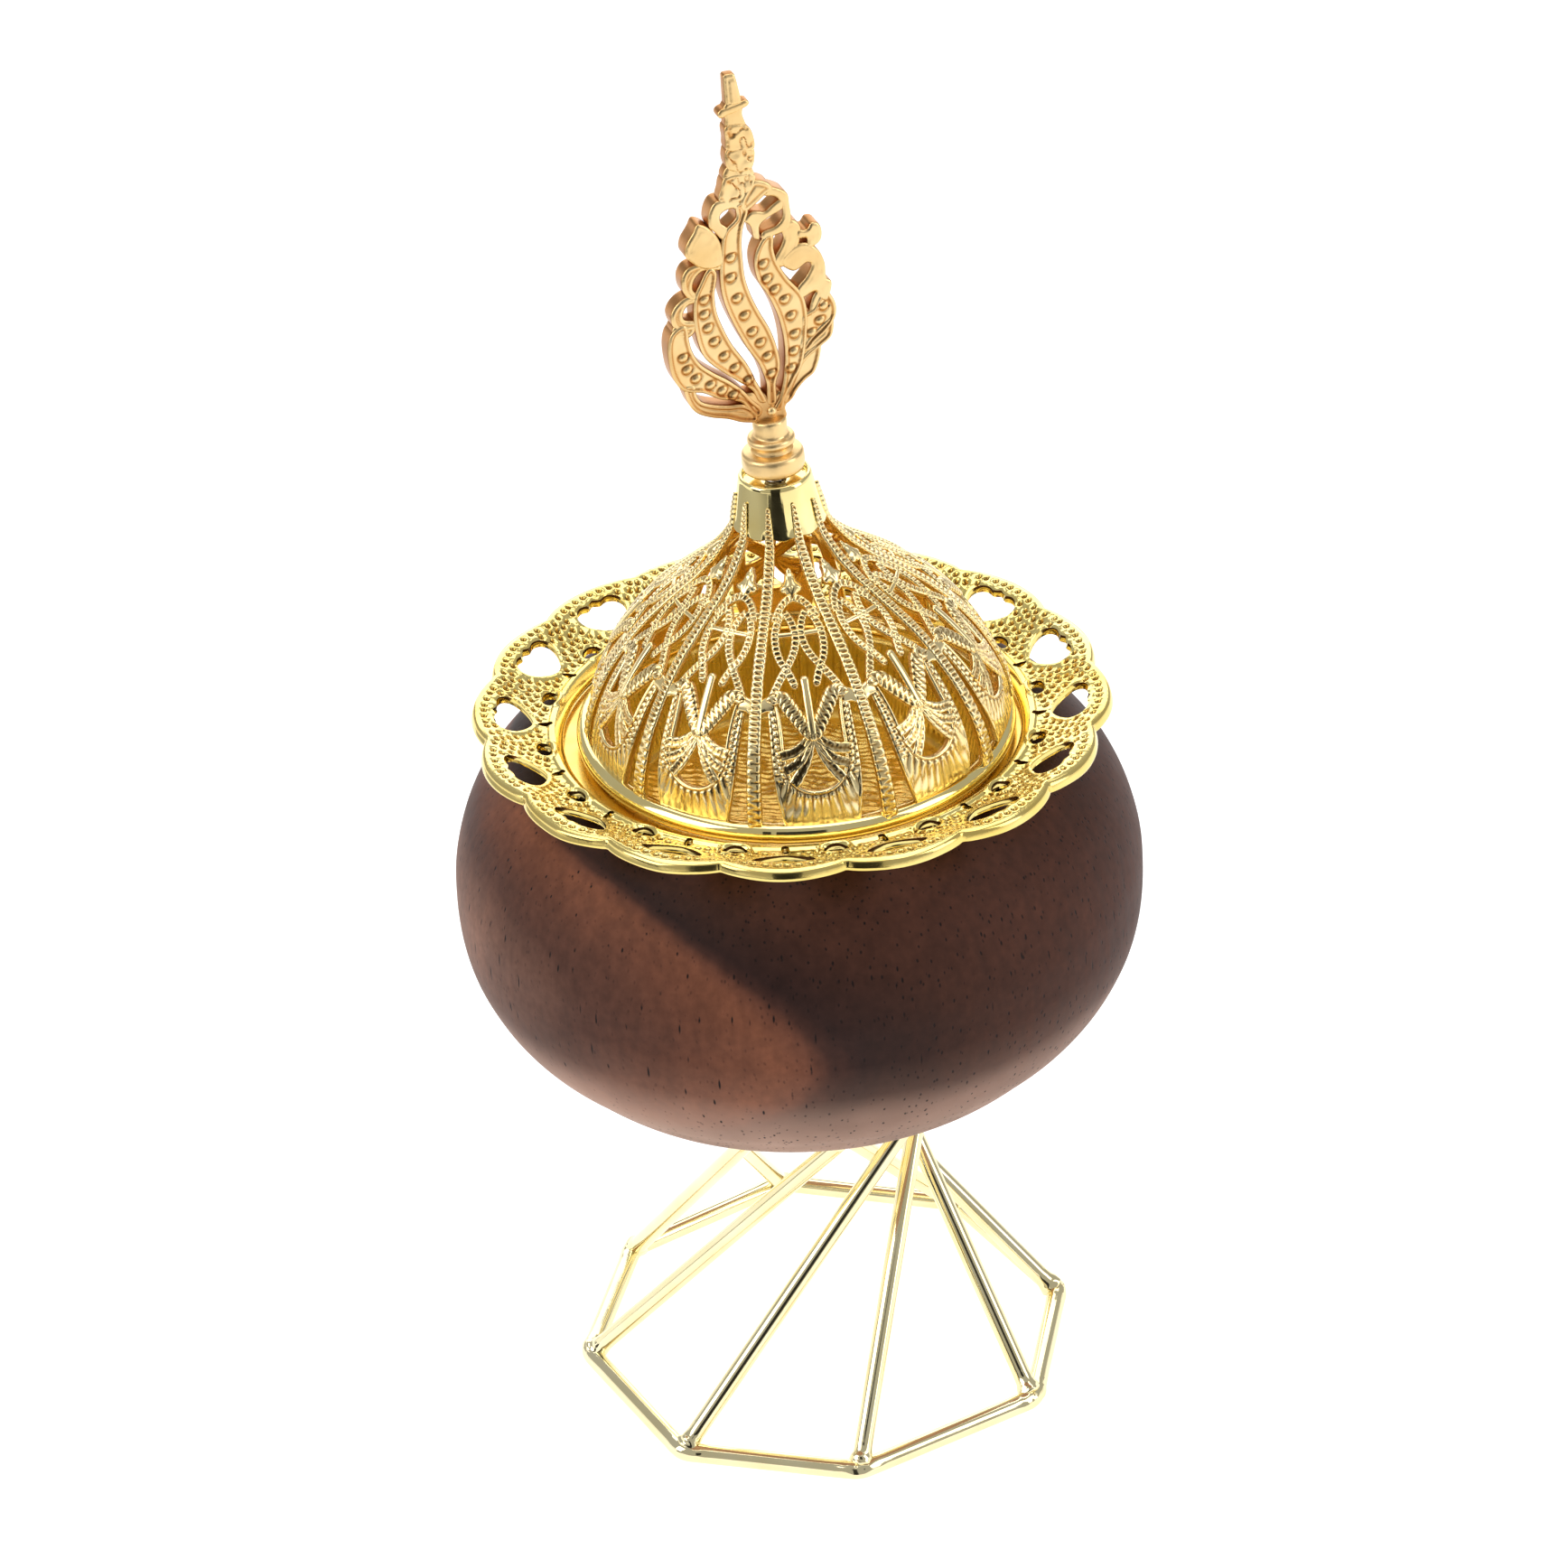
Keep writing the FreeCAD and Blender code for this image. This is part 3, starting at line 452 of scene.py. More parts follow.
# ------------------------------------------------------------------ materials
def nodes_of(name):
    m = bpy.data.materials.new(name)
    m.use_nodes = True
    nt = m.node_tree
    bsdf = next(n for n in nt.nodes if n.type == "BSDF_PRINCIPLED")
    return m, nt, bsdf


def add(nt, kind, **props):
    n = nt.nodes.new(kind)
    for k, v in props.items():
        setattr(n, k, v)
    return n


def ramp(nt, stops, interpolation="LINEAR"):
    r = nt.nodes.new("ShaderNodeValToRGB")
    r.color_ramp.interpolation = interpolation
    el = r.color_ramp.elements
    while len(el) > 2:
        el.remove(el[-1])
    for i, (p, c) in enumerate(stops):
        e = el[i] if i < 2 else el.new(p)
        e.position = p
        e.color = (c[0], c[1], c[2], 1) if len(c) == 3 else c
    return r


def gold(name, light, deep, rough=(0.08, 0.2), grain=900.0, bump=0.02, blotch=120.0, ao=0.0, reach=0.001, occlusion_shade=(0.50, 0.24, 0.035), shade_color=None, inner=None):
    """polished or satin plating: colour and gloss vary a little, with a fine grain"""
    m, nt, b = nodes_of(name)
    L = nt.links.new
    tc = add(nt, "ShaderNodeTexCoord")
    n1 = add(nt, "ShaderNodeTexNoise")
    n1.inputs["Scale"].default_value = blotch
    n1.inputs["Detail"].default_value = 3
    L(tc.outputs["Object"], n1.inputs["Vector"])
    cr = ramp(nt, [(0.3, deep), (0.7, light)])
    L(n1.outputs["Fac"], cr.inputs["Fac"])
    col = cr.outputs["Color"]
    if ao > 0:
        # painted shade: ambient occlusion darkens the colour toward a brown in hollows
        a = add(nt, "ShaderNodeAmbientOcclusion", samples=4)
        a.inputs["Distance"].default_value = reach
        mx = add(nt, "ShaderNodeMix", data_type="RGBA", blend_type="MULTIPLY")
        mx.inputs["Factor"].default_value = ao
        cr2 = ramp(nt, [(0.35, occlusion_shade), (0.85, (1, 1, 1))])
        L(a.outputs["AO"], cr2.inputs["Fac"])
        L(col, mx.inputs[6])
        L(cr2.outputs["Color"], mx.inputs[7])
        col = mx.outputs[2]
    if shade_color is not None:
        # painted shade: the per-vertex factor darkens the colour toward a dark brown in pits, grooves, creases and
        # walls
        at = add(nt, "ShaderNodeAttribute", attribute_name="painted_shade")
        wr = ramp(nt, [(0.0, shade_color), (0.55, tuple(c ** 0.33 for c in shade_color)), (1.0, (1, 1, 1))])
        L(at.outputs["Fac"], wr.inputs["Fac"])
        mw = add(nt, "ShaderNodeMix", data_type="RGBA", blend_type="MULTIPLY")
        mw.inputs["Factor"].default_value = 1.0
        L(col, mw.inputs[6])
        L(wr.outputs["Color"], mw.inputs[7])
        col = mw.outputs[2]
    if inner is not None:
        # painted light: faces turned toward the axis get a deeper orange, standing in for light bounced between the
        # gold surfaces
        flat = add(nt, "ShaderNodeVectorMath", operation="MULTIPLY")
        flat.inputs[1].default_value = (1, 1, 0)
        L(tc.outputs["Object"], flat.inputs[0])
        unit = add(nt, "ShaderNodeVectorMath", operation="NORMALIZE")
        L(flat.outputs[0], unit.inputs[0])
        dt = add(nt, "ShaderNodeVectorMath", operation="DOT_PRODUCT")
        L(unit.outputs[0], dt.inputs[0])
        L(tc.outputs["Normal"], dt.inputs[1])
        fi = add(nt, "ShaderNodeMapRange")
        fi.inputs["From Min"].default_value = -0.10
        fi.inputs["From Max"].default_value = -0.50
        L(dt.outputs["Value"], fi.inputs["Value"])
        n4 = add(nt, "ShaderNodeTexNoise")
        n4.inputs["Scale"].default_value = blotch * 1.7
        L(tc.outputs["Object"], n4.inputs["Vector"])
        ir = ramp(nt, [(0.3, tuple(0.86 * c for c in inner)), (0.7, inner)])
        L(n4.outputs["Fac"], ir.inputs["Fac"])
        mi = add(nt, "ShaderNodeMix", data_type="RGBA", blend_type="MIX")
        L(fi.outputs["Result"], mi.inputs["Factor"])
        L(col, mi.inputs[6])
        L(ir.outputs["Color"], mi.inputs[7])
        col = mi.outputs[2]
    L(col, b.inputs["Base Color"])
    b.inputs["Metallic"].default_value = 1.0
    n2 = add(nt, "ShaderNodeTexNoise")
    n2.inputs["Scale"].default_value = blotch * 2.3
    n2.inputs["Detail"].default_value = 4
    L(tc.outputs["Object"], n2.inputs["Vector"])
    mr = add(nt, "ShaderNodeMapRange")
    mr.inputs["From Min"].default_value = 0.3
    mr.inputs["From Max"].default_value = 0.7
    mr.inputs["To Min"].default_value = rough[0]
    mr.inputs["To Max"].default_value = rough[1]
    L(n2.outputs["Fac"], mr.inputs["Value"])
    L(mr.outputs["Result"], b.inputs["Roughness"])
    n3 = add(nt, "ShaderNodeTexNoise")
    n3.inputs["Scale"].default_value = grain
    n3.inputs["Detail"].default_value = 2
    L(tc.outputs["Object"], n3.inputs["Vector"])
    bp = add(nt, "ShaderNodeBump")
    bp.inputs["Strength"].default_value = 0.35
    bp.inputs["Distance"].default_value = bump * MM
    L(n3.outputs["Fac"], bp.inputs["Height"])
    L(bp.outputs["Normal"], b.inputs["Normal"])
    return m


# tray, dome and finial take painted shade toward their dark brown; cup and dome take a painted bounce tint on faces
# turned toward the axis
MAT_TRAY = gold("tray_gold", (1.0, 0.84, 0.34), (0.98, 0.74, 0.20), rough=(0.10, 0.18), bump=0.03, shade_color=(0.16, 0.07, 0.012))
MAT_CUP = gold("cup_gold", (1.0, 0.76, 0.26), (0.98, 0.64, 0.14), rough=(0.20, 0.30), bump=0.015, inner=(1.0, 0.78, 0.22))
MAT_LID = gold("lid_gold", (1.0, 0.86, 0.42), (0.98, 0.78, 0.30), rough=(0.04, 0.10), bump=0.01)
MAT_DOME = gold("dome_gold", (1.0, 0.83, 0.46), (0.98, 0.76, 0.34), rough=(0.12, 0.20), bump=0.012, shade_color=(0.14, 0.06, 0.014), inner=(1.0, 0.62, 0.15))
MAT_FINIAL = gold("finial_gold", (0.92, 0.68, 0.34), (0.85, 0.57, 0.24), rough=(0.30, 0.40), bump=0.05, grain=1800.0, shade_color=(0.30, 0.10, 0.025))
MAT_WIRE = gold("stand_gold", (0.97, 0.88, 0.58), (0.93, 0.81, 0.46), rough=(0.05, 0.12), bump=0.012)
MAT_STEEL = gold("screw_steel", (0.62, 0.62, 0.62), (0.5, 0.5, 0.5), rough=(0.25, 0.4), bump=0.02)


def wood_material():
    m, nt, b = nodes_of("bowl_wood")
    L = nt.links.new
    tc = add(nt, "ShaderNodeTexCoord")
    # slow warp of the figure
    warp = add(nt, "ShaderNodeTexNoise")
    warp.inputs["Scale"].default_value = 34
    warp.inputs["Detail"].default_value = 3
    L(tc.outputs["Object"], warp.inputs["Vector"])
    sub = add(nt, "ShaderNodeVectorMath", operation="SUBTRACT")
    sub.inputs[1].default_value = (0.5, 0.5, 0.5)
    L(warp.outputs["Color"], sub.inputs[0])
    sc = add(nt, "ShaderNodeVectorMath", operation="SCALE")
    sc.inputs["Scale"].default_value = 0.0065
    L(sub.outputs[0], sc.inputs[0])
    pos = add(nt, "ShaderNodeVectorMath", operation="ADD")
    L(tc.outputs["Object"], pos.inputs[0])
    L(sc.outputs[0], pos.inputs[1])
    # growth: the distance from the heart of a long oval that lies low and to the left of the front
    rel = add(nt, "ShaderNodeVectorMath", operation="SUBTRACT")
    rel.inputs[1].default_value = (-0.07663, -0.01395, 0.08918)
    L(pos.outputs[0], rel.inputs[0])
    du = add(nt, "ShaderNodeVectorMath", operation="DOT_PRODUCT")
    du.inputs[1].default_value = tuple(c / 0.08715 for c in (0.865, -0.4989, -0.054))
    L(rel.outputs[0], du.inputs[0])
    dw = add(nt, "ShaderNodeVectorMath", operation="DOT_PRODUCT")
    dw.inputs[1].default_value = tuple(c / 0.02438 for c in (0.1524, 0.1587, 0.9755))
    L(rel.outputs[0], dw.inputs[0])
    both = add(nt, "ShaderNodeCombineXYZ")
    L(du.outputs["Value"], both.inputs[0])
    L(dw.outputs["Value"], both.inputs[1])
    dist = add(nt, "ShaderNodeVectorMath", operation="LENGTH")
    L(both.outputs[0], dist.inputs[0])
    grow = add(nt, "ShaderNodeMapRange")
    grow.inputs["From Min"].default_value = 0.0
    grow.inputs["From Max"].default_value = 2.5
    L(dist.outputs["Value"], grow.inputs["Value"])
    body = ramp(nt, [(f / 2.5, c) for f, c in [
        (0.0, (0.33, 0.180, 0.125)), (0.35, (0.22, 0.110, 0.076)), (0.60, (0.090, 0.037, 0.025)), (0.70, (0.098, 0.038, 0.024)),
        (0.80, (0.140, 0.051, 0.029)), (0.92, (0.190, 0.068, 0.036)), (0.965, (0.150, 0.054, 0.031)), (0.995, (0.060, 0.023, 0.016)),
        (1.03, (0.030, 0.0125, 0.0100)), (1.10, (0.042, 0.0165, 0.0115)), (1.22, (0.062, 0.0225, 0.0135)),
        (1.45, (0.074, 0.026, 0.0155)), (1.75, (0.060, 0.0215, 0.0135)), (2.1, (0.078, 0.028, 0.017)), (2.5, (0.062, 0.023, 0.0145))]])
    L(grow.outputs["Result"], body.inputs["Fac"])
    # fine streaks, long across the ball's vertical
    st_map = add(nt, "ShaderNodeMapping")
    st_map.inputs["Scale"].default_value = (620, 620, 70)
    st_map.inputs["Rotation"].default_value = (0.0, 0.12, 0.0)
    L(pos.outputs[0], st_map.inputs["Vector"])
    st = add(nt, "ShaderNodeTexNoise")
    st.inputs["Scale"].default_value = 1.0
    st.inputs["Detail"].default_value = 5
    L(st_map.outputs["Vector"], st.inputs["Vector"])
    st_r = ramp(nt, [(0.35, (0.91, 0.90, 0.89)), (0.65, (1.08, 1.08, 1.07))])
    L(st.outputs["Fac"], st_r.inputs["Fac"])
    mul = add(nt, "ShaderNodeMix", data_type="RGBA", blend_type="MULTIPLY")
    mul.inputs["Factor"].default_value = 1.0
    L(body.outputs["Color"], mul.inputs[6])
    L(st_r.outputs["Color"], mul.inputs[7])
    # cloudy patches
    cl = add(nt, "ShaderNodeTexNoise")
    cl.inputs["Scale"].default_value = 55
    cl.inputs["Detail"].default_value = 4
    L(tc.outputs["Object"], cl.inputs["Vector"])
    cl_r = ramp(nt, [(0.3, (0.82, 0.80, 0.80)), (0.7, (1.18, 1.16, 1.14))])
    L(cl.outputs["Fac"], cl_r.inputs["Fac"])
    mul2 = add(nt, "ShaderNodeMix", data_type="RGBA", blend_type="MULTIPLY")
    mul2.inputs["Factor"].default_value = 1.0
    L(mul.outputs[2], mul2.inputs[6])
    L(cl_r.outputs["Color"], mul2.inputs[7])
    # fine mottling
    mo = add(nt, "ShaderNodeTexNoise")
    mo.inputs["Scale"].default_value = 700
    mo.inputs["Detail"].default_value = 5
    L(tc.outputs["Object"], mo.inputs["Vector"])
    mo_r = ramp(nt, [(0.32, (0.86, 0.85, 0.84)), (0.68, (1.13, 1.13, 1.12))])
    L(mo.outputs["Fac"], mo_r.inputs["Fac"])
    mul3 = add(nt, "ShaderNodeMix", data_type="RGBA", blend_type="MULTIPLY")
    mul3.inputs["Factor"].default_value = 1.0
    L(mul2.outputs[2], mul3.inputs[6])
    L(mo_r.outputs["Color"], mul3.inputs[7])
    # painted light: the colour turns to a pale tan toward the foot, standing in for light bounced up from the floor
    oz = add(nt, "ShaderNodeSeparateXYZ")
    L(pos.outputs[0], oz.inputs[0])
    floor_bounce_mask = add(nt, "ShaderNodeMapRange")
    floor_bounce_mask.inputs["From Min"].default_value = 0.083
    floor_bounce_mask.inputs["From Max"].default_value = 0.066
    L(oz.outputs[2], floor_bounce_mask.inputs["Value"])
    floor_bounce_ramp = ramp(nt, [(0.0, (0, 0, 0)), (0.35, (0.12, 0.12, 0.12)), (0.66, (0.58, 0.58, 0.58)), (1.0, (0.93, 0.93, 0.93))])
    L(floor_bounce_mask.outputs["Result"], floor_bounce_ramp.inputs["Fac"])
    bounce_tan_ramp = ramp(nt, [(0.3, (0.30, 0.178, 0.128)), (0.7, (0.50, 0.305, 0.225))])
    L(cl.outputs["Fac"], bounce_tan_ramp.inputs["Fac"])
    mul4 = add(nt, "ShaderNodeMix", data_type="RGBA", blend_type="MIX")
    L(floor_bounce_ramp.outputs["Color"], mul4.inputs["Factor"])
    L(mul3.outputs[2], mul4.inputs[6])
    L(bounce_tan_ramp.outputs["Color"], mul4.inputs[7])
    mul2 = mul4
    # pores: short dark dashes
    pm = add(nt, "ShaderNodeMapping")
    pm.inputs["Scale"].default_value = (820, 820, 120)
    L(tc.outputs["Object"], pm.inputs["Vector"])
    vo = add(nt, "ShaderNodeTexVoronoi", feature="F1")
    vo.inputs["Scale"].default_value = 1.0
    vo.inputs["Randomness"].default_value = 1.0
    L(pm.outputs["Vector"], vo.inputs["Vector"])
    pr = ramp(nt, [(0.09, (1, 1, 1)), (0.17, (0, 0, 0))])
    L(vo.outputs["Distance"], pr.inputs["Fac"])
    gate = add(nt, "ShaderNodeTexNoise")
    gate.inputs["Scale"].default_value = 420
    gate.inputs["Detail"].default_value = 2
    L(tc.outputs["Object"], gate.inputs["Vector"])
    gr = ramp(nt, [(0.44, (0, 0, 0)), (0.52, (1, 1, 1))])
    L(gate.outputs["Fac"], gr.inputs["Fac"])
    long_pores = add(nt, "ShaderNodeMath", operation="MULTIPLY")
    L(pr.outputs["Color"], long_pores.inputs[0])
    L(gr.outputs["Color"], long_pores.inputs[1])
    # and many finer specks, mostly in the darker heart wood
    sm_map = add(nt, "ShaderNodeMapping")
    sm_map.inputs["Scale"].default_value = (980, 980, 560)
    L(pos.outputs[0], sm_map.inputs["Vector"])
    sv = add(nt, "ShaderNodeTexVoronoi", feature="F1")
    sv.inputs["Scale"].default_value = 1.0
    L(sm_map.outputs["Vector"], sv.inputs["Vector"])
    sr = ramp(nt, [(0.11, (0.85, 0.85, 0.85)), (0.22, (0, 0, 0))])
    L(sv.outputs["Distance"], sr.inputs["Fac"])
    heart = ramp(nt, [(0.36, (0.35, 0.35, 0.35)), (0.44, (1, 1, 1))])
    L(grow.outputs["Result"], heart.inputs["Fac"])
    specks = add(nt, "ShaderNodeMath", operation="MULTIPLY")
    L(sr.outputs["Color"], specks.inputs[0])
    L(heart.outputs["Color"], specks.inputs[1])
    pores = add(nt, "ShaderNodeMath", operation="MAXIMUM")
    L(long_pores.outputs[0], pores.inputs[0])
    L(specks.outputs[0], pores.inputs[1])
    mix = add(nt, "ShaderNodeMix", data_type="RGBA", blend_type="MIX")
    L(pores.outputs[0], mix.inputs["Factor"])
    L(mul2.outputs[2], mix.inputs[6])
    mix.inputs[7].default_value = (0.010, 0.004, 0.003, 1)
    L(mix.outputs[2], b.inputs["Base Color"])
    rr = add(nt, "ShaderNodeMapRange")
    rr.inputs["To Min"].default_value = 0.54
    rr.inputs["To Max"].default_value = 0.70
    L(st.outputs["Fac"], rr.inputs["Value"])
    L(rr.outputs["Result"], b.inputs["Roughness"])
    lw = add(nt, "ShaderNodeLayerWeight")
    lw.inputs["Blend"].default_value = 0.35
    edge = add(nt, "ShaderNodeMapRange")
    edge.inputs["From Min"].default_value = 0.25
    edge.inputs["From Max"].default_value = 0.95
    edge.inputs["To Min"].default_value = 0.15
    edge.inputs["To Max"].default_value = 0.3
    L(lw.outputs["Facing"], edge.inputs["Value"])
    L(edge.outputs["Result"], b.inputs["Specular IOR Level"])
    hsum = add(nt, "ShaderNodeMath", operation="MULTIPLY_ADD")
    L(pores.outputs[0], hsum.inputs[0])
    hsum.inputs[1].default_value = -1.0
    L(st.outputs["Fac"], hsum.inputs[2])
    bp = add(nt, "ShaderNodeBump")
    bp.inputs["Strength"].default_value = 0.5
    bp.inputs["Distance"].default_value = 0.00008
    L(hsum.outputs[0], bp.inputs["Height"])
    L(bp.outputs["Normal"], b.inputs["Normal"])
    return m


MAT_WOOD = wood_material()

# ------------------------------------------------------------------ wire stand
WIRE_R = 1.45
CORNERS = [(35.92, -172.09), (37.19, -125.78), (37.05, -83.12), (37.9, -34.7),
           (36.77, 7.63), (36.81, 52.88), (37.45, 98.05), (36.05, 143.49)]
LEG_TOPS = [-78.1, -25.6, 14.6, 64.4, 105.2, 153.6, 196.0, 240.0]
corner = np.array([[r * math.cos(math.radians(a)), r * math.sin(math.radians(a)), WIRE_R] for r, a in CORNERS])
ring = []
feet = []
for k in range(8):
    p, q, s = corner[k - 1], corner[k], corner[(k + 1) % 8]
    e1 = (p - q) / np.linalg.norm(p - q)
    e2 = (s - q) / np.linalg.norm(s - q)
    half = math.acos(float(e1 @ e2)) / 2
    R = 3.2
    inward = (e1 + e2) / np.linalg.norm(e1 + e2)
    c = q + inward * (R / math.sin(half))
    a = q + e1 * (R / math.tan(half))
    b = q + e2 * (R / math.tan(half))
    va, vb = a - c, b - c
    ang = math.acos(float(va @ vb) / (R * R))
    for t in np.linspace(0, 1, 7):
        w = (math.sin((1 - t) * ang) * va + math.sin(t * ang) * vb) / math.sin(ang)
        ring.append(c + w)
    feet.append(q + inward * (R / math.sin(half) - R))
    nxt = corner[(k + 1) % 8]
    for t in np.linspace(0, 1, 26)[1:-1]:
        # straight run to the start of the next bend is filled after resampling
        pass
ring = np.array(ring)
full = []
for i in range(len(ring)):
    a, b = ring[i], ring[(i + 1) % len(ring)]
    n = max(int(np.linalg.norm(b - a) / 0.55), 1)
    for t in range(n):
        full.append(a + (b - a) * t / n)
full = np.array(full)
s_ring = np.r_[0, np.cumsum(np.linalg.norm(np.diff(full, axis=0), axis=1))]
soup = Soup()
feet = np.array(feet)
near = np.min(np.linalg.norm(full[:, None, :] - feet[None], axis=2), axis=1)
# welded corners are a little swollen and lumpy
rad = WIRE_R * (1 - 0.012 + 0.012 * hash_noise(s_ring / 4.0, 3)) + 0.0 * near


def ring_shape(X, Y, s, a):
    sw = np.exp(-(near / 2.6) ** 2)
    lump = 0.12 * noise2(s[:, None] * 1.3, a[None] * 1.6, 5) + 0.13
    k = 1 + sw[:, None] * lump * (Y > -0.2)
    return X * k, np.where(Y > 0, Y * k, Y)


tube_path(soup, full, rad, seg=32, closed=True, shape=ring_shape)
build("base_ring_wire", soup, MAT_WIRE, "stand_and_ball", ["base_ring"])

for k in range(8):
    th = math.radians(LEG_TOPS[k])
    top = np.array([18.4 * math.cos(th), 18.4 * math.sin(th), 47.55])
    ft = feet[k]
    d = top - ft
    Lg = np.linalg.norm(d)
    u = d / Lg
    start = ft + u * 0.55
    n = 140
    t = np.r_[np.linspace(0, 5.0, 40, endpoint=False), np.linspace(5.0, Lg - 0.55, n - 40)]
    P = start + t[:, None] * u
    # weld fillet at the foot
    r = 1.35 + 0.55 * np.exp(-(t / 1.6) ** 2) + 0.010 * hash_noise(t / 6.0, k)
    r = r - 0.5 * np.exp(-(t / 0.28) ** 2)

    def leg_shape(X, Y, s, a, k=k):
        w = np.exp(-(s / 2.2) ** 2)[:, None]
        f = 1 + w * 0.16 * noise2(s[:, None] * 1.4 + 7 * k, a[None] * 1.3, k)
        return X * f, Y * f
    soup = Soup()
    tube_path(soup, P, r, seg=28, cap=True, shape=leg_shape)
    # flux beads beside the weld
    for j in range(3):
        ang = 2.1 * j + k
        c = ft + np.array([math.cos(ang) * 0.9, math.sin(ang) * 0.9, 1.15])
        rr = 0.42 + 0.12 * hash_noise(np.array([j * 1.7 + k * 3.1]), 9)[0]
        ths = np.linspace(0, np.pi, 9)
        prof = np.stack([rr * np.sin(ths), rr * 0.8 * np.cos(ths)], 1)
        prof[0, 0] = 0
        prof[-1, 0] = 0
        lathe(soup, prof, 16, move=lambda v, c=c: v + c)
    build("leg_%d_wire" % (k + 1), soup, MAT_WIRE, "stand_and_ball", ["leg_%d" % (k + 1)])

# ------------------------------------------------------------------ wooden ball
BOWL = [(17.0, 48.6), (20.6, 50.5), (25.0, 52.95), (29.6, 55.5), (33.0, 57.35), (35.0, 58.45), (36.6, 59.35), (37.8, 60.15),
        (38.8, 61.0), (39.95, 62.1), (41.6, 63.8), (43.9, 66.15), (46.0, 69.0), (47.6, 72.0), (48.85, 75.1), (49.6, 78.3),
        (49.95, 81.6), (50.0, 84.8),
        (49.83, 88.2), (49.2, 91.4), (48.3, 94.4), (47.2, 97.0), (45.8, 99.6), (44.0, 102.0), (41.4, 104.9),
        (39.1, 106.6), (37.8, 107.2), (36.8, 107.36)]
outer = resample(catmull(BOWL, 10), 0.6)
prof = [(0.0, 48.6), (2.55, 48.6)]
prof = [(0.0, 48.62)] + [(r, 48.6) for r in np.linspace(1.5, 16.5, 8)] + [tuple(p) for p in outer]
prof += [(35.4, 107.38), (34.6, 107.36), (34.25, 107.22), (34.05, 106.95), (34.0, 106.5), (34.0, 106.15), (33.85, 106.0), (32.6, 106.0),
         (31.45, 106.0), (31.25, 105.9), (31.2, 105.6)]
prof += [(31.2, z) for z in np.linspace(104.6, 94.6, 11)] + [(30.9, 93.2), (30.2, 92.3), (29.2, 91.75), (28.2, 91.6)]
prof += [(r, 91.6) for r in np.linspace(24, 3, 6)] + [(0.0, 91.6)]


def turned(v, r, th, z):
    # a hand turned surface is not quite true
    k = 0.10 * np.sin(2 * th + 0.7) * np.exp(-((z - 78) / 22) ** 2) + 0.05 * noise2(th * 3, z / 7.0, 4)
    out = (r > 34.5) & (z < 106.4)
    s = np.where(out, 1 + np.minimum(k, 0.0) / np.maximum(r, 1), 1.0)
    v = v.copy()
    v[:, 0] *= s
    v[:, 1] *= s
    return v


soup = Soup()
lathe(soup, prof[::-1], 360, move_fn=turned)
build("wooden_ball", soup, MAT_WOOD, "stand_and_ball", ["wooden_bowl"], sharp=50)

# ------------------------------------------------------------------ brim of the tray
PHASE = math.radians(132.09)
PITCH = math.radians(22.5)
EDGE_L, EDGE_R = math.radians(-15.4), math.radians(7.1)
BRIM = np.array([(33.05, 108.5), (33.5, 109.05), (34.15, 109.7), (34.75, 109.75), (35.2, 109.5), (36.2, 109.65), (37.4, 110.05),
                 (38.5, 110.47), (39.7, 110.95), (40.8, 111.5), (41.8, 112.0), (42.6, 112.42), (43.3, 112.72), (43.9, 112.88),
                 (44.3, 112.9), (44.9, 112.75), (45.4, 112.45), (46.0, 111.9), (46.6, 111.2)])


def r_out(phi):
    return 44.5 + 1.7 * np.maximum(np.abs(np.cos(8 * phi)), 1e-6) ** 0.8


def polar(r, phi):
    return np.stack([r * np.cos(phi), r * np.sin(phi)], -1)


def brim_ref(r, phi):
    shift = (r_out(phi) - 45.7) * np.clip((r - 39.5) / 5.0, 0, 1) * 0.75
    return np.interp(r - shift, BRIM[:, 0], BRIM[:, 1])


SPADE = np.array([(37.2, 0), (37.35, 0.85), (37.7, 1.7), (38.15, 2.45), (38.7, 3.15), (39.35, 3.8), (40.1, 4.25), (40.85, 4.4),
                  (41.55, 4.2), (42.1, 3.75), (42.45, 3.15), (42.65, 2.45), (42.6, 1.85), (42.5, 1.25), (42.7, 0.6), (42.95, 0)])


def sector_loops():
    # spade, its point toward the middle
    up = np.stack([SPADE[:, 0], SPADE[:, 1]], 1)
    dn = up[1:-1][::-1] * np.array([1, -1])
    spade = np.vstack([up, dn])
    spade = resample(catmull(spade, 6, closed=True), 0.24, closed=True)
    t = np.linspace(0, 2 * np.pi, 26, endpoint=False)
    c = np.array([35.9, 0])
    mid = -PITCH / 2
    ov = np.stack([c[0] + 1.12 * np.cos(t), 1.75 * np.sin(t)], 1)
    cs, sn = math.cos(mid), math.sin(mid)
    oval = np.stack([ov[:, 0] * cs - ov[:, 1] * sn, ov[:, 0] * sn + ov[:, 1] * cs], 1)
    a = np.linspace(0, 2 * np.pi, 22, endpoint=False)
    slit = np.stack([35.5 + 1.1 * np.cos(a), 0.58 * np.sin(a) * (1 - 0.25 * np.cos(a))], 1)
    tw = math.radians(9)
    slit = slit - [35.5, 0]
    slit = np.stack([slit[:, 0] * math.cos(tw) - slit[:, 1] * math.sin(tw), slit[:, 0] * math.sin(tw) + slit[:, 1] * math.cos(tw)], 1) + [35.5, 0]
    return [ccw(spade), ccw(oval), ccw(slit)]


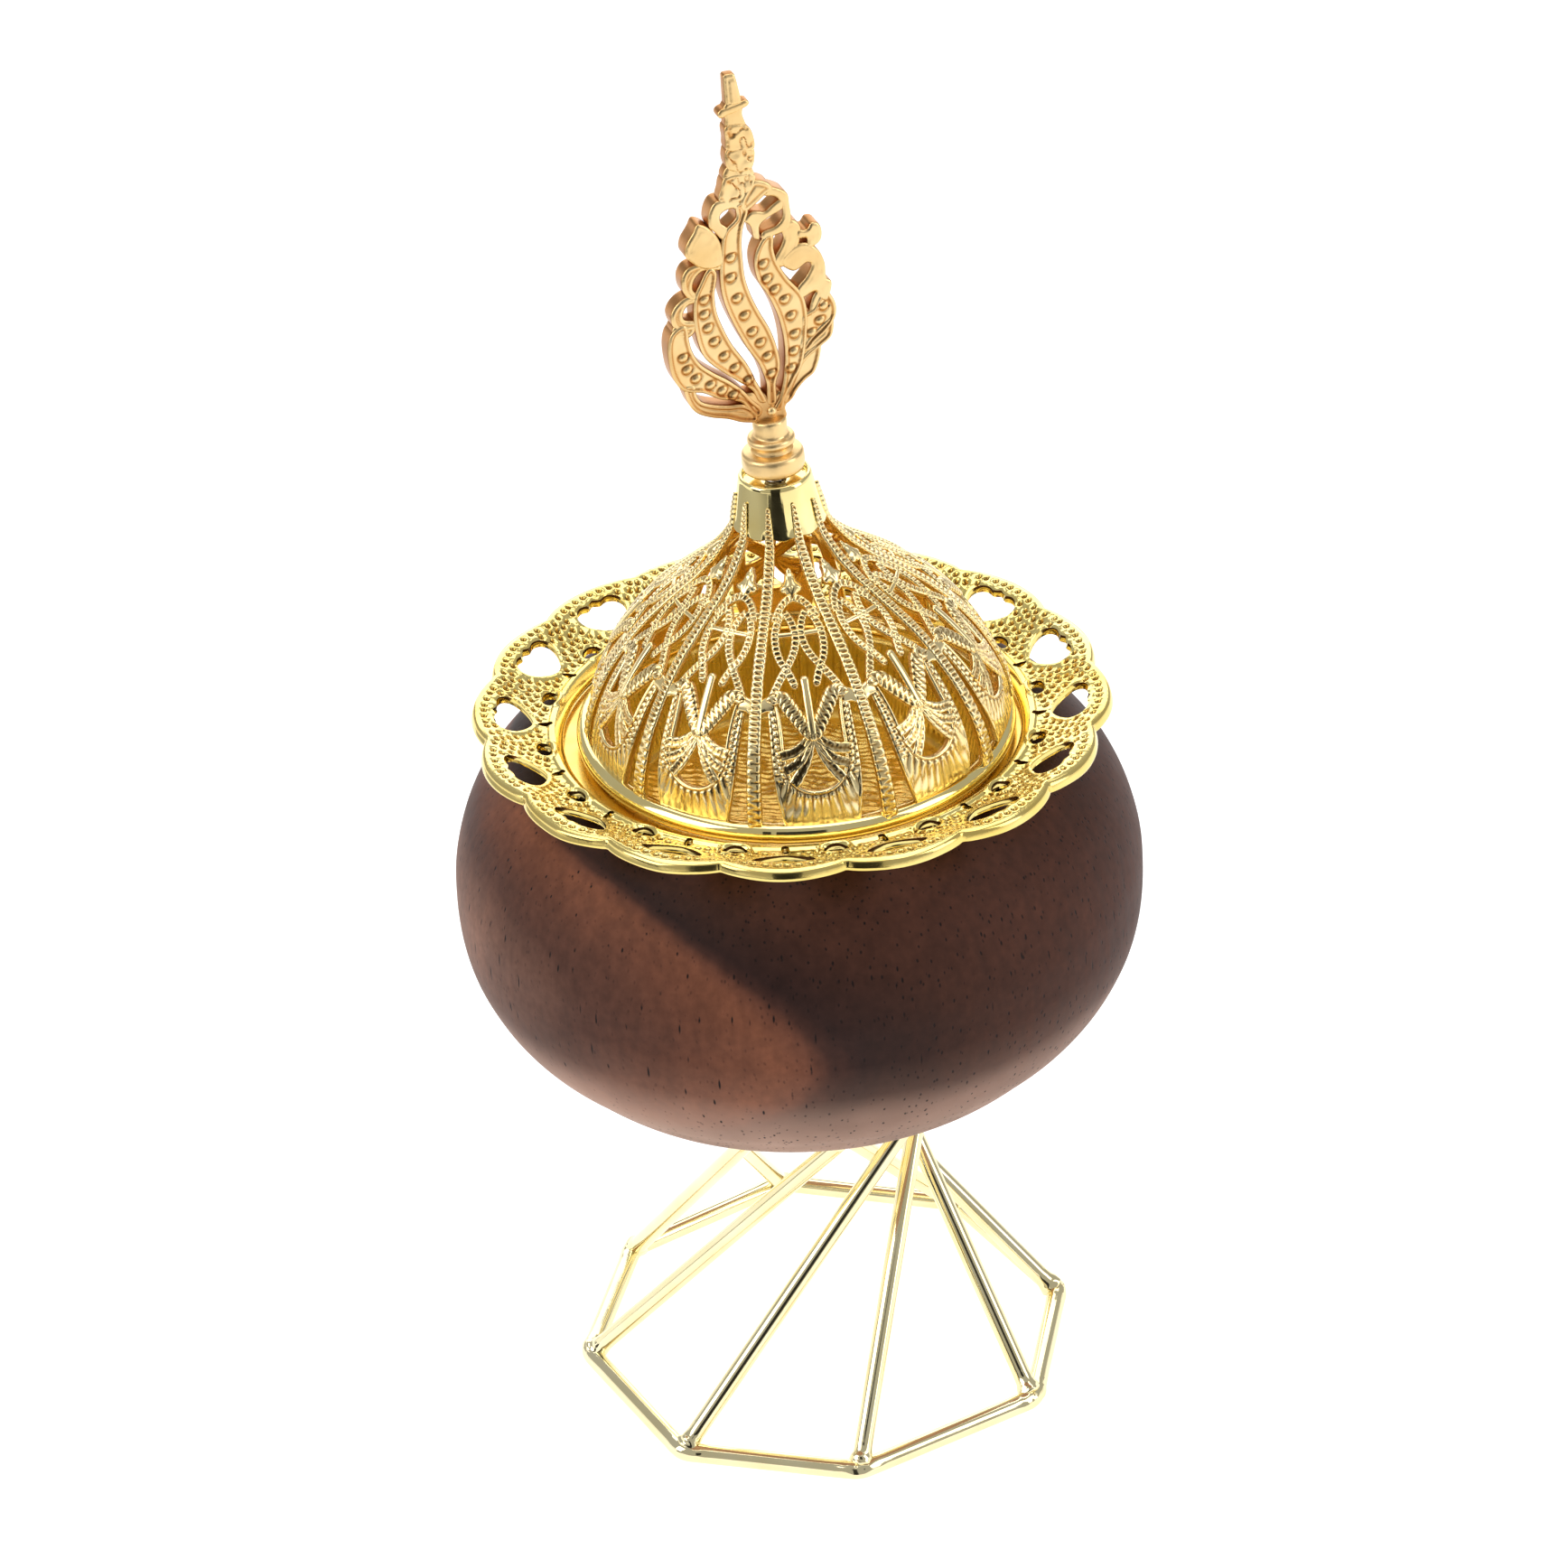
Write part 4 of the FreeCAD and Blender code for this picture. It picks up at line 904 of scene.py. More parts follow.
def petal_pits():
    """little pits in rows that run with the wavy edge"""
    out = []
    delta = 1.95
    j = 0
    while delta < 11.2:
        R = 45.4 - delta
        n = max(int(round(R * PITCH / (1.50 - 0.012 * j))), 3)
        for i in range(n):
            phi = EDGE_L + (i + 0.5 * (j % 2) + 0.22 * float(hash_noise(np.array([i * 3.3 + j * 5.1]), 2)[0])) * PITCH / n
            amp = 1 + 0.35 * float(hash_noise(np.array([i * 1.9 + j * 7.7]), 6)[0])
            out.append((R, phi, amp, delta))
        delta += 1.28
        j += 1
    return out


def make_brim():
    inset = 0.8
    n_out = 84
    phis = np.linspace(EDGE_R, EDGE_L, n_out)
    eps = 1e-4

    def out_curve(ph, off):
        P = polar(r_out(ph), ph)
        d = polar(r_out(ph + eps), ph + eps) - polar(r_out(ph - eps), ph - eps)
        d /= np.linalg.norm(d, axis=1)[:, None]
        nrm = np.stack([d[:, 1], -d[:, 0]], 1)
        Pn = P + nrm * off
        # keep the ends exactly on the sector's edges
        for e, ang in ((0, ph[0]), (-1, ph[-1])):
            Pn[e] = polar(np.array(np.linalg.norm(Pn[e])), np.array(ang))
        return Pn
    arc_out = out_curve(phis, -inset)[::-1]          # from the left edge to the right edge
    r_edge = np.linalg.norm(arc_out[0])
    r_in = 33.05
    n_rad = 60
    rs = np.linspace(r_edge, r_in, n_rad + 1)
    n_in = 48
    ph_in = np.linspace(EDGE_R, EDGE_L, n_in + 1)
    arc_in = polar(np.full(n_in + 1, r_in), ph_in)   # from the right edge to the left edge
    right = polar(rs, np.full(n_rad + 1, EDGE_R))    # outer to inner
    left = polar(rs, np.full(n_rad + 1, EDGE_L))
    loop = np.vstack([arc_out, right[1:], arc_in[1:], left[::-1][1:-1]])
    iA = np.arange(0, n_out)
    iR = np.r_[n_out - 1, np.arange(n_out, n_out + n_rad)]
    iI = np.r_[n_out + n_rad - 1, np.arange(n_out + n_rad, n_out + n_rad + n_in)]
    iL = np.r_[0, np.arange(n_out + n_rad + n_in, len(loop))[::-1], n_out + n_rad + n_in - 1]
    holes = sector_loops()
    loops = [loop] + holes
    coords, tri = fill(loops, 0.19)
    r = np.linalg.norm(coords, axis=1)
    ph = np.arctan2(coords[:, 1], coords[:, 0])
    dh = [dist_to(coords, [h]) for h in holes]
    # neighbours' holes across the sector's edges
    rot = lambda L, a: np.stack([L[:, 0] * math.cos(a) - L[:, 1] * math.sin(a), L[:, 0] * math.sin(a) + L[:, 1] * math.cos(a)], 1)
    d_all = np.minimum.reduce(dh + [dist_to(coords, [rot(h, s * PITCH)]) for h in holes for s in (-1, 1)])
    d_spade = np.minimum.reduce([dist_to(coords, [rot(holes[0], s * PITCH)]) for s in (-1, 0, 1)])
    d_oval = np.minimum.reduce([dist_to(coords, [rot(holes[1], s * PITCH)]) for s in (-1, 0, 1)])
    delta = r_out(ph) - r
    h = np.zeros(len(coords))
    # raised borders
    h += 0.30 * np.exp(-((d_oval - 0.42) / 0.36) ** 2)
    h += 0.16 * np.exp(-((d_spade - 0.40) / 0.35) ** 2)
    # the field sinks a little between outer roll and inner lip
    field = np.clip((delta - 1.15) / 0.5, 0, 1) * np.clip((r - 35.0) / 0.5, 0, 1)
    h -= 0.10 * field
    pits = petal_pits()
    px, py, pa = [], [], []
    for (R, phi, amp, dl) in pits:
        for s in (-1, 0, 1):
            p2 = phi + s * PITCH
            rr = R + (float(r_out(np.array(p2))) - 45.4)
            if rr < 35.35:
                continue
            px.append(rr * math.cos(p2))
            py.append(rr * math.sin(p2))
            pa.append(amp)
    pp = np.stack([px, py], 1)
    pa = np.array(pa)
    dd = np.minimum.reduce([dist_to(pp, [rot(hh, s * PITCH)]) for hh in holes for s in (-2, -1, 0, 1, 2)])
    ins = np.zeros(len(pp), bool)
    for hh in holes:
        for s in (-2, -1, 0, 1, 2):
            ins |= inside(pp, [rot(hh, s * PITCH)])
    ok = (~ins) & (dd > 0.52)
    pp, pa = pp[ok], pa[ok]
    D = np.sqrt(((coords[:, None, :] - pp[None]) ** 2).sum(2))
    k = np.argmin(D, axis=1)
    dm = D[np.arange(len(coords)), k]
    am = pa[k]
    D.sort(axis=1)
    second = D[:, 1]
    pit = np.exp(-(dm / 0.36) ** 2.6)
    soft = np.clip((dm - 0.25) / 0.4, 0, 1)
    # painted shade: the pits in the field are darkened
    painted_shade = 1 - 0.97 * field * np.clip(1.25 * np.exp(-(dm / 0.345) ** 2.6), 0, 1)
    h += field * (-0.46 * am * pit + 0.10 * soft * np.clip((second - dm) * -1 + 0.6, 0, 1))
    # smooth near the edges of the holes
    nb = sum(len(L) for L in loops)
    h[len(loop):nb] = np.where(h[len(loop):nb] > 0, h[len(loop):nb], 0)
    h[iA] = 0
    h[iI] = 0
    V, T, Q = [], [], []

    def to3(xy, hh):
        rr = np.linalg.norm(xy, axis=1)
        pp_ = np.arctan2(xy[:, 1], xy[:, 0])
        return np.stack([xy[:, 0], xy[:, 1], brim_ref(rr, pp_) + hh], 1)
    V.append(to3(coords, h))
    # painted shade: the edges of the face are darkened slightly
    painted_shade[:nb] = 0.95
    T.append(tri)
    base = len(coords)
    Lb, Rb = [list(iL)], [list(iR)]
    # walls of the holes
    start = len(loop)
    bottom_loops = []
    bottom_idx = []
    for hh in holes:
        m = len(hh)
        nrm = -loop_normals(hh)
        prev = np.arange(start, start + m)
        cur = prev
        for (o, z) in [(-0.12, -0.16), (-0.16, -0.45), (-0.15, -0.85), (0.0, -1.15)]:
            p = hh + nrm * (-o) * -1
            V.append(to3(p, np.full(m, z)))
            cur = np.arange(base, base + m)
            base += m
            j = np.arange(m)
            j2 = (j + 1) % m
            Q.append(np.stack([prev[j], prev[j2], cur[j2], cur[j]], 1))
            prev = cur
        bottom_loops.append(p)
        bottom_idx.append(prev)
        start += m
    # outer roll
    ph_f = phis[::-1]
    prev = iA.copy()
    for (o, z) in [(0.28, -0.07), (0.46, -0.26), (0.56, -0.55), (0.66, -0.90), (0.74, -1.22), (0.70, -1.45), (0.44, -1.58), (-0.1, -1.5), (-0.55, -1.15)]:
        p = out_curve(ph_f, o - inset)
        zr = brim_ref(np.linalg.norm(arc_out, axis=1), ph_f)
        v = np.stack([p[:, 0], p[:, 1], zr + z], 1)
        V.append(v)
        cur = np.arange(base, base + n_out)
        base += n_out
        Q.append(np.stack([prev[:-1], cur[:-1], cur[1:], prev[1:]], 1))
        Lb.append([cur[0]])
        Rb.append([cur[-1]])
        prev = cur
    out_last, out_idx = p, prev
    # inner lip
    prev = iI.copy()
    for (o, z) in [(-0.12, -0.25), (-0.10, -0.6), (0.25, -1.0), (0.9, -1.15)]:
        p = polar(np.full(n_in + 1, r_in + o), ph_in)
        v = np.stack([p[:, 0], p[:, 1], np.full(n_in + 1, 108.5 + z + (0.45 if o > 0.5 else 0))], 1)
        V.append(v)
        cur = np.arange(base, base + n_in + 1)
        base += n_in + 1
        Q.append(np.stack([prev[:-1], cur[:-1], cur[1:], prev[1:]], 1))
        Rb.append([cur[0]])
        Lb.append([cur[-1]])
        prev = cur
    in_last, in_idx = p, prev
    # underside
    ra = np.linalg.norm(out_last[0])
    rb = np.linalg.norm(in_last[0])
    nb_r = 22
    rs2 = np.linspace(ra, rb, nb_r + 1)[1:-1]
    R2 = polar(rs2, np.full(len(rs2), EDGE_R))
    L2 = polar(rs2, np.full(len(rs2), EDGE_L))
    bl = np.vstack([out_last, R2, in_last, L2[::-1]])
    c2, t2 = fill([bl] + bottom_loops, 0.75)
    n_bl = len(bl)
    zb = -1.15
    newR = np.arange(base, base + len(R2))
    V.append(to3(R2, np.full(len(R2), zb)))
    base += len(R2)
    newL = np.arange(base, base + len(L2))
    V.append(to3(L2, np.full(len(L2), zb)))
    base += len(L2)
    Rb.append(list(newR))
    Lb.append(list(newL))
    nb2 = n_bl + sum(len(b) for b in bottom_loops)
    extra = c2[nb2:]
    V.append(to3(extra, np.full(len(extra), zb)))
    new_extra = np.arange(base, base + len(extra))
    base += len(extra)
    remap = np.r_[out_idx, newR, in_idx, newL[::-1], np.concatenate(bottom_idx), new_extra]
    T.append(remap[t2][:, ::-1])
    V = np.vstack(V)
    # painted shade: walls, roll and underside are darkened slightly
    painted_shade = np.r_[painted_shade, np.full(len(V) - len(painted_shade), 0.9)]
    T = np.vstack(T)
    Q = np.vstack(Q)
    Lb = np.concatenate([np.asarray(x, np.int64) for x in Lb])
    Rb = np.concatenate([np.asarray(x, np.int64) for x in Rb])
    n = len(V)
    allV, allT, allQ = [], [], []
    for kk in range(16):
        a = PHASE + kk * PITCH
        W = V.copy()
        W[:, 0] = V[:, 0] * math.cos(a) - V[:, 1] * math.sin(a)
        W[:, 1] = V[:, 0] * math.sin(a) + V[:, 1] * math.cos(a)
        allV.append(W)
        # the right edge of one sector is the left edge of the next
        m = np.arange(n) + kk * n
        m[Lb] = Rb + ((kk - 1) % 16) * n
        allT.append(m[T])
        allQ.append(m[Q])
    W = np.vstack(allV)
    th = np.arctan2(W[:, 1], W[:, 0])
    rr = np.hypot(W[:, 0], W[:, 1])
    # stamped and plated by hand: the petals are not all alike
    w = np.clip((rr - 36) / 8, 0, 1)
    W[:, 2] += w * (0.10 * np.sin(3 * th + 0.4) - 0.10) * 0.6 + w * 0.05 * noise2(W[:, 0] / 4.0, W[:, 1] / 4.0, 8)
    kr = w * 0.12 * noise2(W[:, 0] / 6.0, W[:, 1] / 6.0, 5) - w * 0.12
    W[:, 0] += kr * np.cos(th)
    W[:, 1] += kr * np.sin(th)
    used = np.zeros(len(W), bool)
    T = np.vstack(allT)
    Q = np.vstack(allQ)
    used[T.ravel()] = True
    used[Q.ravel()] = True
    new = np.cumsum(used) - 1
    return W[used], new[T], new[Q], np.tile(painted_shade, 16)[used]


build("tray_brim_relief", make_brim(), MAT_TRAY, "tray", ["tray_brim"], sharp=75)

# ------------------------------------------------------------------ cup
CUP_SEG = 840


def cup_detail(v, r, th, z):
    """flutes on the wall, waves across the floor, on the inner faces only"""
    v = v.copy()
    inner_wall = (z > 96.0) & (z < 106.6)
    n = 140
    ph = th * n + 0.7 * noise2(th * 22, z * 0 + 1.0, 3)
    flute = np.cos(ph) * 0.20 * np.clip((z - 95.8) / 1.5, 0, 1) * np.clip((106.4 - z) / 1.0, 0, 1)
    dr = np.where(inner_wall, flute, 0)
    v[:, 0] += dr * np.cos(th)
    v[:, 1] += dr * np.sin(th)
    floor = (z < 94.65) & (z > 94.35)
    x, y = r * np.cos(th), r * np.sin(th)
    warp = 1.1 * noise2(x / 5.0, y / 5.0, 2) + 0.20 * noise2(x / 1.3, y / 2.6, 12)
    rip = np.sin((y * 0.96 + 0.2 * x + 1.5 * warp) * 2 * np.pi / 1.25) * 0.15 * (0.65 + 0.6 * noise2(x / 1.1, y / 2.2, 8)) + 0.07 * noise2(x / 0.9, y / 0.9, 7)
    v[:, 2] += np.where(floor, rip * np.clip((25.0 - r) / 1.5, 0, 1), 0)
    return v


def make_cup():
    soup = Soup()
    ins = [(0.0, 94.5)] + [(r, 94.5) for r in np.linspace(0.35, 24.8, 118)]
    ins += [(25.3, 94.56), (25.75, 94.8), (26.05, 95.2), (26.2, 95.7)]
    ins += [(26.2 + (z - 95.7) * (28.5 - 26.2) / 10.7, z) for z in np.linspace(96.2, 106.4, 22)]
    ins += [(28.6, 106.75), (28.9, 107.05), (29.3, 107.2), (30.2, 107.2), (31.2, 107.2), (32.2, 107.25), (33.0, 107.3), (33.45, 107.2), (33.62, 106.9),
            (33.62, 106.5), (33.4, 106.3), (30.0, 106.3), (29.5, 106.1), (29.35, 105.6)]
    ins += [(27.1 + (z - 95.7) * (29.35 - 27.1) / 9.9, z) for z in np.linspace(105.0, 96.0, 8)]
    ins += [(27.1, 95.4), (26.8, 94.5), (26.2, 93.85), (25.4, 93.6), (20.0, 93.6), (10.0, 93.6), (0.0, 93.6)]
    lathe(soup, ins, CUP_SEG, move_fn=cup_detail)
    v, t, q = soup.arrays()
    return v, t[:, ::-1], q[:, ::-1]


build("tray_cup_fluted", make_cup(), MAT_CUP, "tray", ["tray_cup"], sharp=80)

# ------------------------------------------------------------------ ring under the dome
s = np.linspace(0, 2 * np.pi, 420, endpoint=False)
P = np.stack([0.6 + 30.1 * np.cos(s), 30.1 * np.sin(s), np.full(420, 109.1)], 1)
soup = Soup()
rad = 1.5 - 0.012 + 0.010 * np.sin(3 * s + 1) * 1.0


def ring_notch(X, Y, d, a):
    # soldered seams, slightly flattened
    w = np.exp(-((s - math.radians(262)) / 0.012) ** 2)[:, None] * 0.05
    f = 1 - w
    return X * f, Y * f


tube_path(soup, P, rad, seg=40, closed=True, shape=ring_notch)
build("lid_ring_polished", soup, MAT_LID, "lid", ["lid_ring"])

# ------------------------------------------------------------------ openwork dome
DOME_T = np.array([0, 2.5, 5, 7.5, 10, 12.5, 15, 17.5, 20, 21.5, 23, 24.5, 26, 27.5, 29, 31, 33, 35.5, 38, 40.5], float)
DOME_R = np.array([30.6, 30.3, 29.8, 28.95, 27.8, 26.35, 24.6, 22.55, 20.1, 18.3, 16.4, 14.4, 12.4, 10.75, 9.3, 7.85, 6.7,
                   6.28, 5.81, 5.34], float)
_dense = catmull(np.stack([DOME_T, DOME_R], 1), 24)
_arc = arclen(_dense)


def dome_r(t):
    return np.interp(t, _dense[:, 0], _dense[:, 1])


def arc_of(t):
    return np.interp(t, _dense[:, 0], _arc)


def t_of(y):
    return np.interp(y, _arc, _dense[:, 0])


def dome_slope(t):
    e = 0.35
    return (dome_r(t + e) - dome_r(t - e)) / (2 * e)


def dome_normal(phi, t):
    sl = dome_slope(t)
    k = 1 / np.sqrt(1 + sl * sl)
    return np.stack([np.sin(phi) * k, -np.cos(phi) * k, -sl * k], -1)


def dome_point(phi, t, h=0.0):
    """phi in radians from the front (-Y) toward +X, t along the axis, h outward; dome coordinates"""
    r = dome_r(t)
    p = np.stack([r * np.sin(phi), -r * np.cos(phi), np.asarray(t, float) + 0 * r], -1)
    return p + dome_normal(phi, t) * (np.asarray(h)[..., None] if np.ndim(h) else h)


def lean_dir(n):
    return lean(n) - FOOT


BAYS = [math.radians(5.0 + 36.0 * k) for k in range(10)]


def bump(q, power=0.6):
    return np.maximum(np.abs(np.cos(np.pi * q)), 1e-6) ** power


def strand(soup, centre, pts, width=1.0, up=0.55, down=0.62, kind="bead", pitch=0.8, lift=0.0, free=(False, False),
           taper=None, step=0.13, m=18, seed=0, smooth=8):
    """a cast strand laid on the dome; pts are (degrees from the bay's centre, t)"""
    q = np.asarray(pts, float)
    ang = np.radians(q[:, 0])
    xy = np.stack([ang * 20.0, arc_of(q[:, 1])], 1)
    if len(q) > 2:
        xy = catmull(xy, smooth)
    else:
        xy = resample(xy, 0.3)
    phi = xy[:, 0] / 20.0 + centre
    t = t_of(xy[:, 1])
    P = dome_point(phi, t, 0.0)
    d = arclen(P)
    n = max(int(d[-1] / step), 6)
    s = np.linspace(0, d[-1], n)
    phi = np.interp(s, d, phi)
    t = np.interp(s, d, t)
    N = dome_normal(phi, t)
    lf = lift if np.isscalar(lift) else np.interp(s / d[-1], np.linspace(0, 1, len(lift)), lift)
    P = dome_point(phi, t, 0.0) + N * (np.asarray(lf)[:, None] if np.ndim(lf) else lf)
    w = np.full(n, width / 2.0) if np.isscalar(width) else np.interp(s / d[-1], np.linspace(0, 1, len(width)), width) / 2.0
    u = np.full(n, up) if np.isscalar(up) else np.interp(s / d[-1], np.linspace(0, 1, len(up)), up)
    w = w * (1 + 0.05 * hash_noise(s / 1.7, seed + 1))
    k0 = np.ones(n)
    for e, on in enumerate(free):
        if on:
            dist = s if e == 0 else d[-1] - s
            rr = w * 1.05
            kk = np.sqrt(np.clip(1 - (1 - np.clip(dist / rr, 0, 1)) ** 2, 0.02, 1))
            k0 = np.minimum(k0, kk)
    X, Y, cx, sy = round_section(n, m, w * k0, u * (0.4 + 0.6 * k0), down * (0.4 + 0.6 * k0), power=0.62)
    top = np.clip(sy, 0, 1)[None, :]
    x = cx[None, :]
    S = s[:, None] + 0.13 * pitch * hash_noise(s / 2.3, seed + 3)[:, None]
    # painted shade: the per-vertex factor below darkens the pits, grooves and low places of the strand's top
    painted_shade = np.ones((n, m))

    def low(g, hi, span):
        k = np.clip((hi - g) / span, 0, 1)
        return k * k * (3 - 2 * k)
    if kind == "bead":
        ph = S / pitch + 0.16 * x
        hole = np.clip(1.35 * np.cos(np.pi * ph) ** 2 - 0.35, 0, 1)
        mid = np.exp(-(x / 0.46) ** 4)
        Y = Y - top * 0.34 * mid * hole * (1 + 0.2 * hash_noise(s / 0.9, seed + 5)[:, None])
        Y = Y - top * 0.10 * (1 - mid) * (1 - bump(ph + 0.5, 0.8))
        X = X * (1 + 0.06 * (0.5 - hole) * np.clip(1 - np.abs(sy)[None, :], 0, 1))
        painted_shade = painted_shade - np.clip(top * 1.6, 0, 1) * (0.95 * mid * hole + 0.10 * (1 - mid) * (1 - bump(ph + 0.5, 0.8)))
    elif kind == "double":
        # two plaits with a groove between, long grains
        a = bump(S / (pitch * 1.5), 0.5)
        b = bump(S / (pitch * 1.5) + 0.5, 0.5)
        side = np.clip((x + 0.2) / 0.4, 0, 1)
        bd = a * (1 - side) + b * side
        groove = np.exp(-(x / 0.22) ** 2)
        Y = Y + top * (0.24 * (bd - 0.7) - 0.26 * groove)
        painted_shade = painted_shade - np.clip(top * 1.6, 0, 1) * (0.45 * low(bd, 0.80, 0.42) + 0.45 * groove)
    elif kind == "rope":
        g = bump(S / pitch + 0.75 * x * np.sign(1.0) * (1 if seed % 2 else -1), 0.55)
        Y = Y + top * 0.36 * (g - 0.8)
        X = X * (1 + 0.05 * (g - 0.6))
        painted_shade = painted_shade - np.clip(top * 1.6, 0, 1) * 0.75 * low(g, 0.80, 0.42)
    elif kind == "leaf":
        groove = np.exp(-(x / 0.22) ** 2)
        g = bump(S / 1.25 + 0.9 * x * (1 if seed % 2 else -1), 0.45)
        Y = Y - top * (0.24 * groove + 0.14 * (1 - g))
        painted_shade = painted_shade - np.clip(top * 1.6, 0, 1) * (0.5 * groove + 0.35 * low(g, 0.8, 0.4))
    Pw = lean(P)
    Nw = lean_dir(N)
    sweep(soup, Pw, Nw, X, Y, painted_shade=np.clip(painted_shade, 0, 1))


def chart(phi_deg, t):
    """flat map of a bay (mm across, mm up the slope)"""
    t = np.asarray(t, float)
    return np.stack([np.radians(np.asarray(phi_deg, float)) * dome_r(t), arc_of(t)], -1)


def chart_to_dome(xy, h, centre):
    t = t_of(xy[:, 1])
    phi = xy[:, 0] / dome_r(t) + centre
    p = dome_point(phi, t, np.asarray(h, float))
    return lean(p)


def loop_from(pts, step, n=8, corners=()):
    """smooth closed loop with some sharp corners kept"""
    p = np.asarray(pts, float)
    if not len(corners):
        return ccw(resample(catmull(p, n, closed=True), step, closed=True))
    out = []
    c = list(corners) + [corners[0] + len(p)]
    for a, b in zip(c[:-1], c[1:]):
        seg = p[[i % len(p) for i in range(a, b + 1)]]
        sm = catmull(seg, n) if len(seg) > 2 else seg
        k = max(int(round(arclen(sm)[-1] / step)), 1)
        dd = arclen(sm)
        ss = np.linspace(0, dd[-1], k + 1)[:-1]
        out.append(np.stack([np.interp(ss, dd, sm[:, 0]), np.interp(ss, dd, sm[:, 1])], 1))
    return ccw(np.vstack(out))


PANEL_OUT = [(-14.6, 17.4), (-14.0, 16.0), (-13.4, 13.8), (-12.9, 11.0), (-12.3, 8.0), (-11.5, 5.0), (-10.6, 2.6), (-9.8, 0.9)]
PANEL_IN = [(10.9, 17.2), (9.9, 15.6), (9.2, 13.4), (8.9, 11.3), (8.1, 9.2), (6.3, 7.4), (3.4, 6.4), (0.0, 6.1)]


def panel_loop():
    left = [chart(a, t) for a, t in PANEL_OUT]
    right = [chart(-a, t) for a, t in PANEL_OUT[::-1]]
    inr = [chart(a, t) for a, t in PANEL_IN]
    inl = [chart(-a, t) for a, t in PANEL_IN[:-1][::-1]]
    pts = [tuple(p) for p in left + right + inr + inl]
    n_l = len(left)
    corners = (0, n_l - 1, n_l, 2 * n_l - 1, 2 * n_l, 2 * n_l + len(inr) + len(inl) - 1)
    return loop_from(pts, 0.26, corners=corners), np.array([tuple(p) for p in inr + inl])


PANEL_LOOP, _inner = panel_loop()
INNER_LINE = catmull(_inner, 8)


def dist_line(points, line):
    best = np.full(len(points), 1e9)
    A, B = line[:-1], line[1:]
    d = B - A
    dd = (d * d).sum(1) + 1e-12
    for s0 in range(0, len(points), 4000):
        p = points[s0:s0 + 4000]
        t = np.clip(((p[:, None, :] - A[None]) * d[None]).sum(2) / dd[None], 0, 1)
        q = A[None] + t[:, :, None] * d[None]
        best[s0:s0 + 4000] = np.sqrt(((p[:, None, :] - q) ** 2).sum(2)).min(1)
    return best


def panel_relief(coords, d):
    di = dist_line(coords, INNER_LINE)
    x, y = coords[:, 0], coords[:, 1]
    h = np.zeros(len(coords))
    # thin smooth lip along the inner contour
    h += 0.26 * np.exp(-((di - 0.24) / 0.17) ** 2)
    # fan of flutes below
    oy = arc_of(17.5)
    ang = np.degrees(np.arctan2(x, oy - y))
    low = np.clip((arc_of(8.6) - y) / 1.6, 0, 1)
    fl = bump(ang / 4.5 + 0.5, 0.75)
    start = np.clip((di - 0.46) / 0.30, 0, 1)
    body = np.clip(d / 0.28, 0, 1)
    fade = 0.25 + 0.75 * np.exp(-(np.clip(di - 0.8, 0, None) / 1.1) ** 2)
    h += low * start * body * (0.24 * fl * fade - 0.02)
    # plaited grains on the sides
    high = 1 - low
    mid = np.clip((di - 1.15) / 0.25, 0, 1)
    g = bump(y / 0.98 + 0.0, 0.6) * (1 - mid) + bump(y / 0.98 + 0.5, 0.6) * mid
    edge = np.exp(-((di - 1.25) / 0.16) ** 2)
    h += high * start * np.clip((d - 0.30) / 0.2, 0, 1) * (0.28 * g - 0.12 * edge)
    # smooth outer edge bead
    do = np.where(di < 0.5, 9, d)
    h += 0.16 * np.exp(-((do - 0.22) / 0.16) ** 2) * np.clip((y - arc_of(1.6)) / 1.5, 0, 1)
    h[:len(PANEL_LOOP)] = 0.0
    sm = lambda k: np.clip(k, 0, 1) ** 2 * (3 - 2 * np.clip(k, 0, 1))
    # painted shade: the returned factor darkens the grooves between the flutes and grains and a line beside the lip
    w = 1 - 0.75 * low * start * body * fade * sm((0.78 - fl) / 0.45) - 0.7 * high * start * sm((0.80 - g) / 0.42)
    w -= 0.6 * np.exp(-((di - 0.52) / 0.12) ** 2)
    return h, np.clip(w, 0, 1)


BUD = [(0, 4.5), (0.28, 4.25), (0.34, 3.85), (0.62, 3.55), (0.72, 3.0), (0.95, 2.5), (1.45, 1.95), (1.62, 1.45), (1.35, 1.05), (0.85, 0.85),
       (0.55, 0.35), (0.25, -0.1), (-0.25, -0.1), (-0.55, 0.35), (-0.85, 0.85), (-1.35, 1.05), (-1.62, 1.45), (-1.45, 1.95), (-0.95, 2.5),
       (-0.72, 3.0), (-0.62, 3.55), (-0.34, 3.85), (-0.28, 4.25)]
WALL = [(0.05, -0.10), (0.07, -0.35), (0.05, -0.75), (-0.06, -1.02), (-0.2, -1.1)]


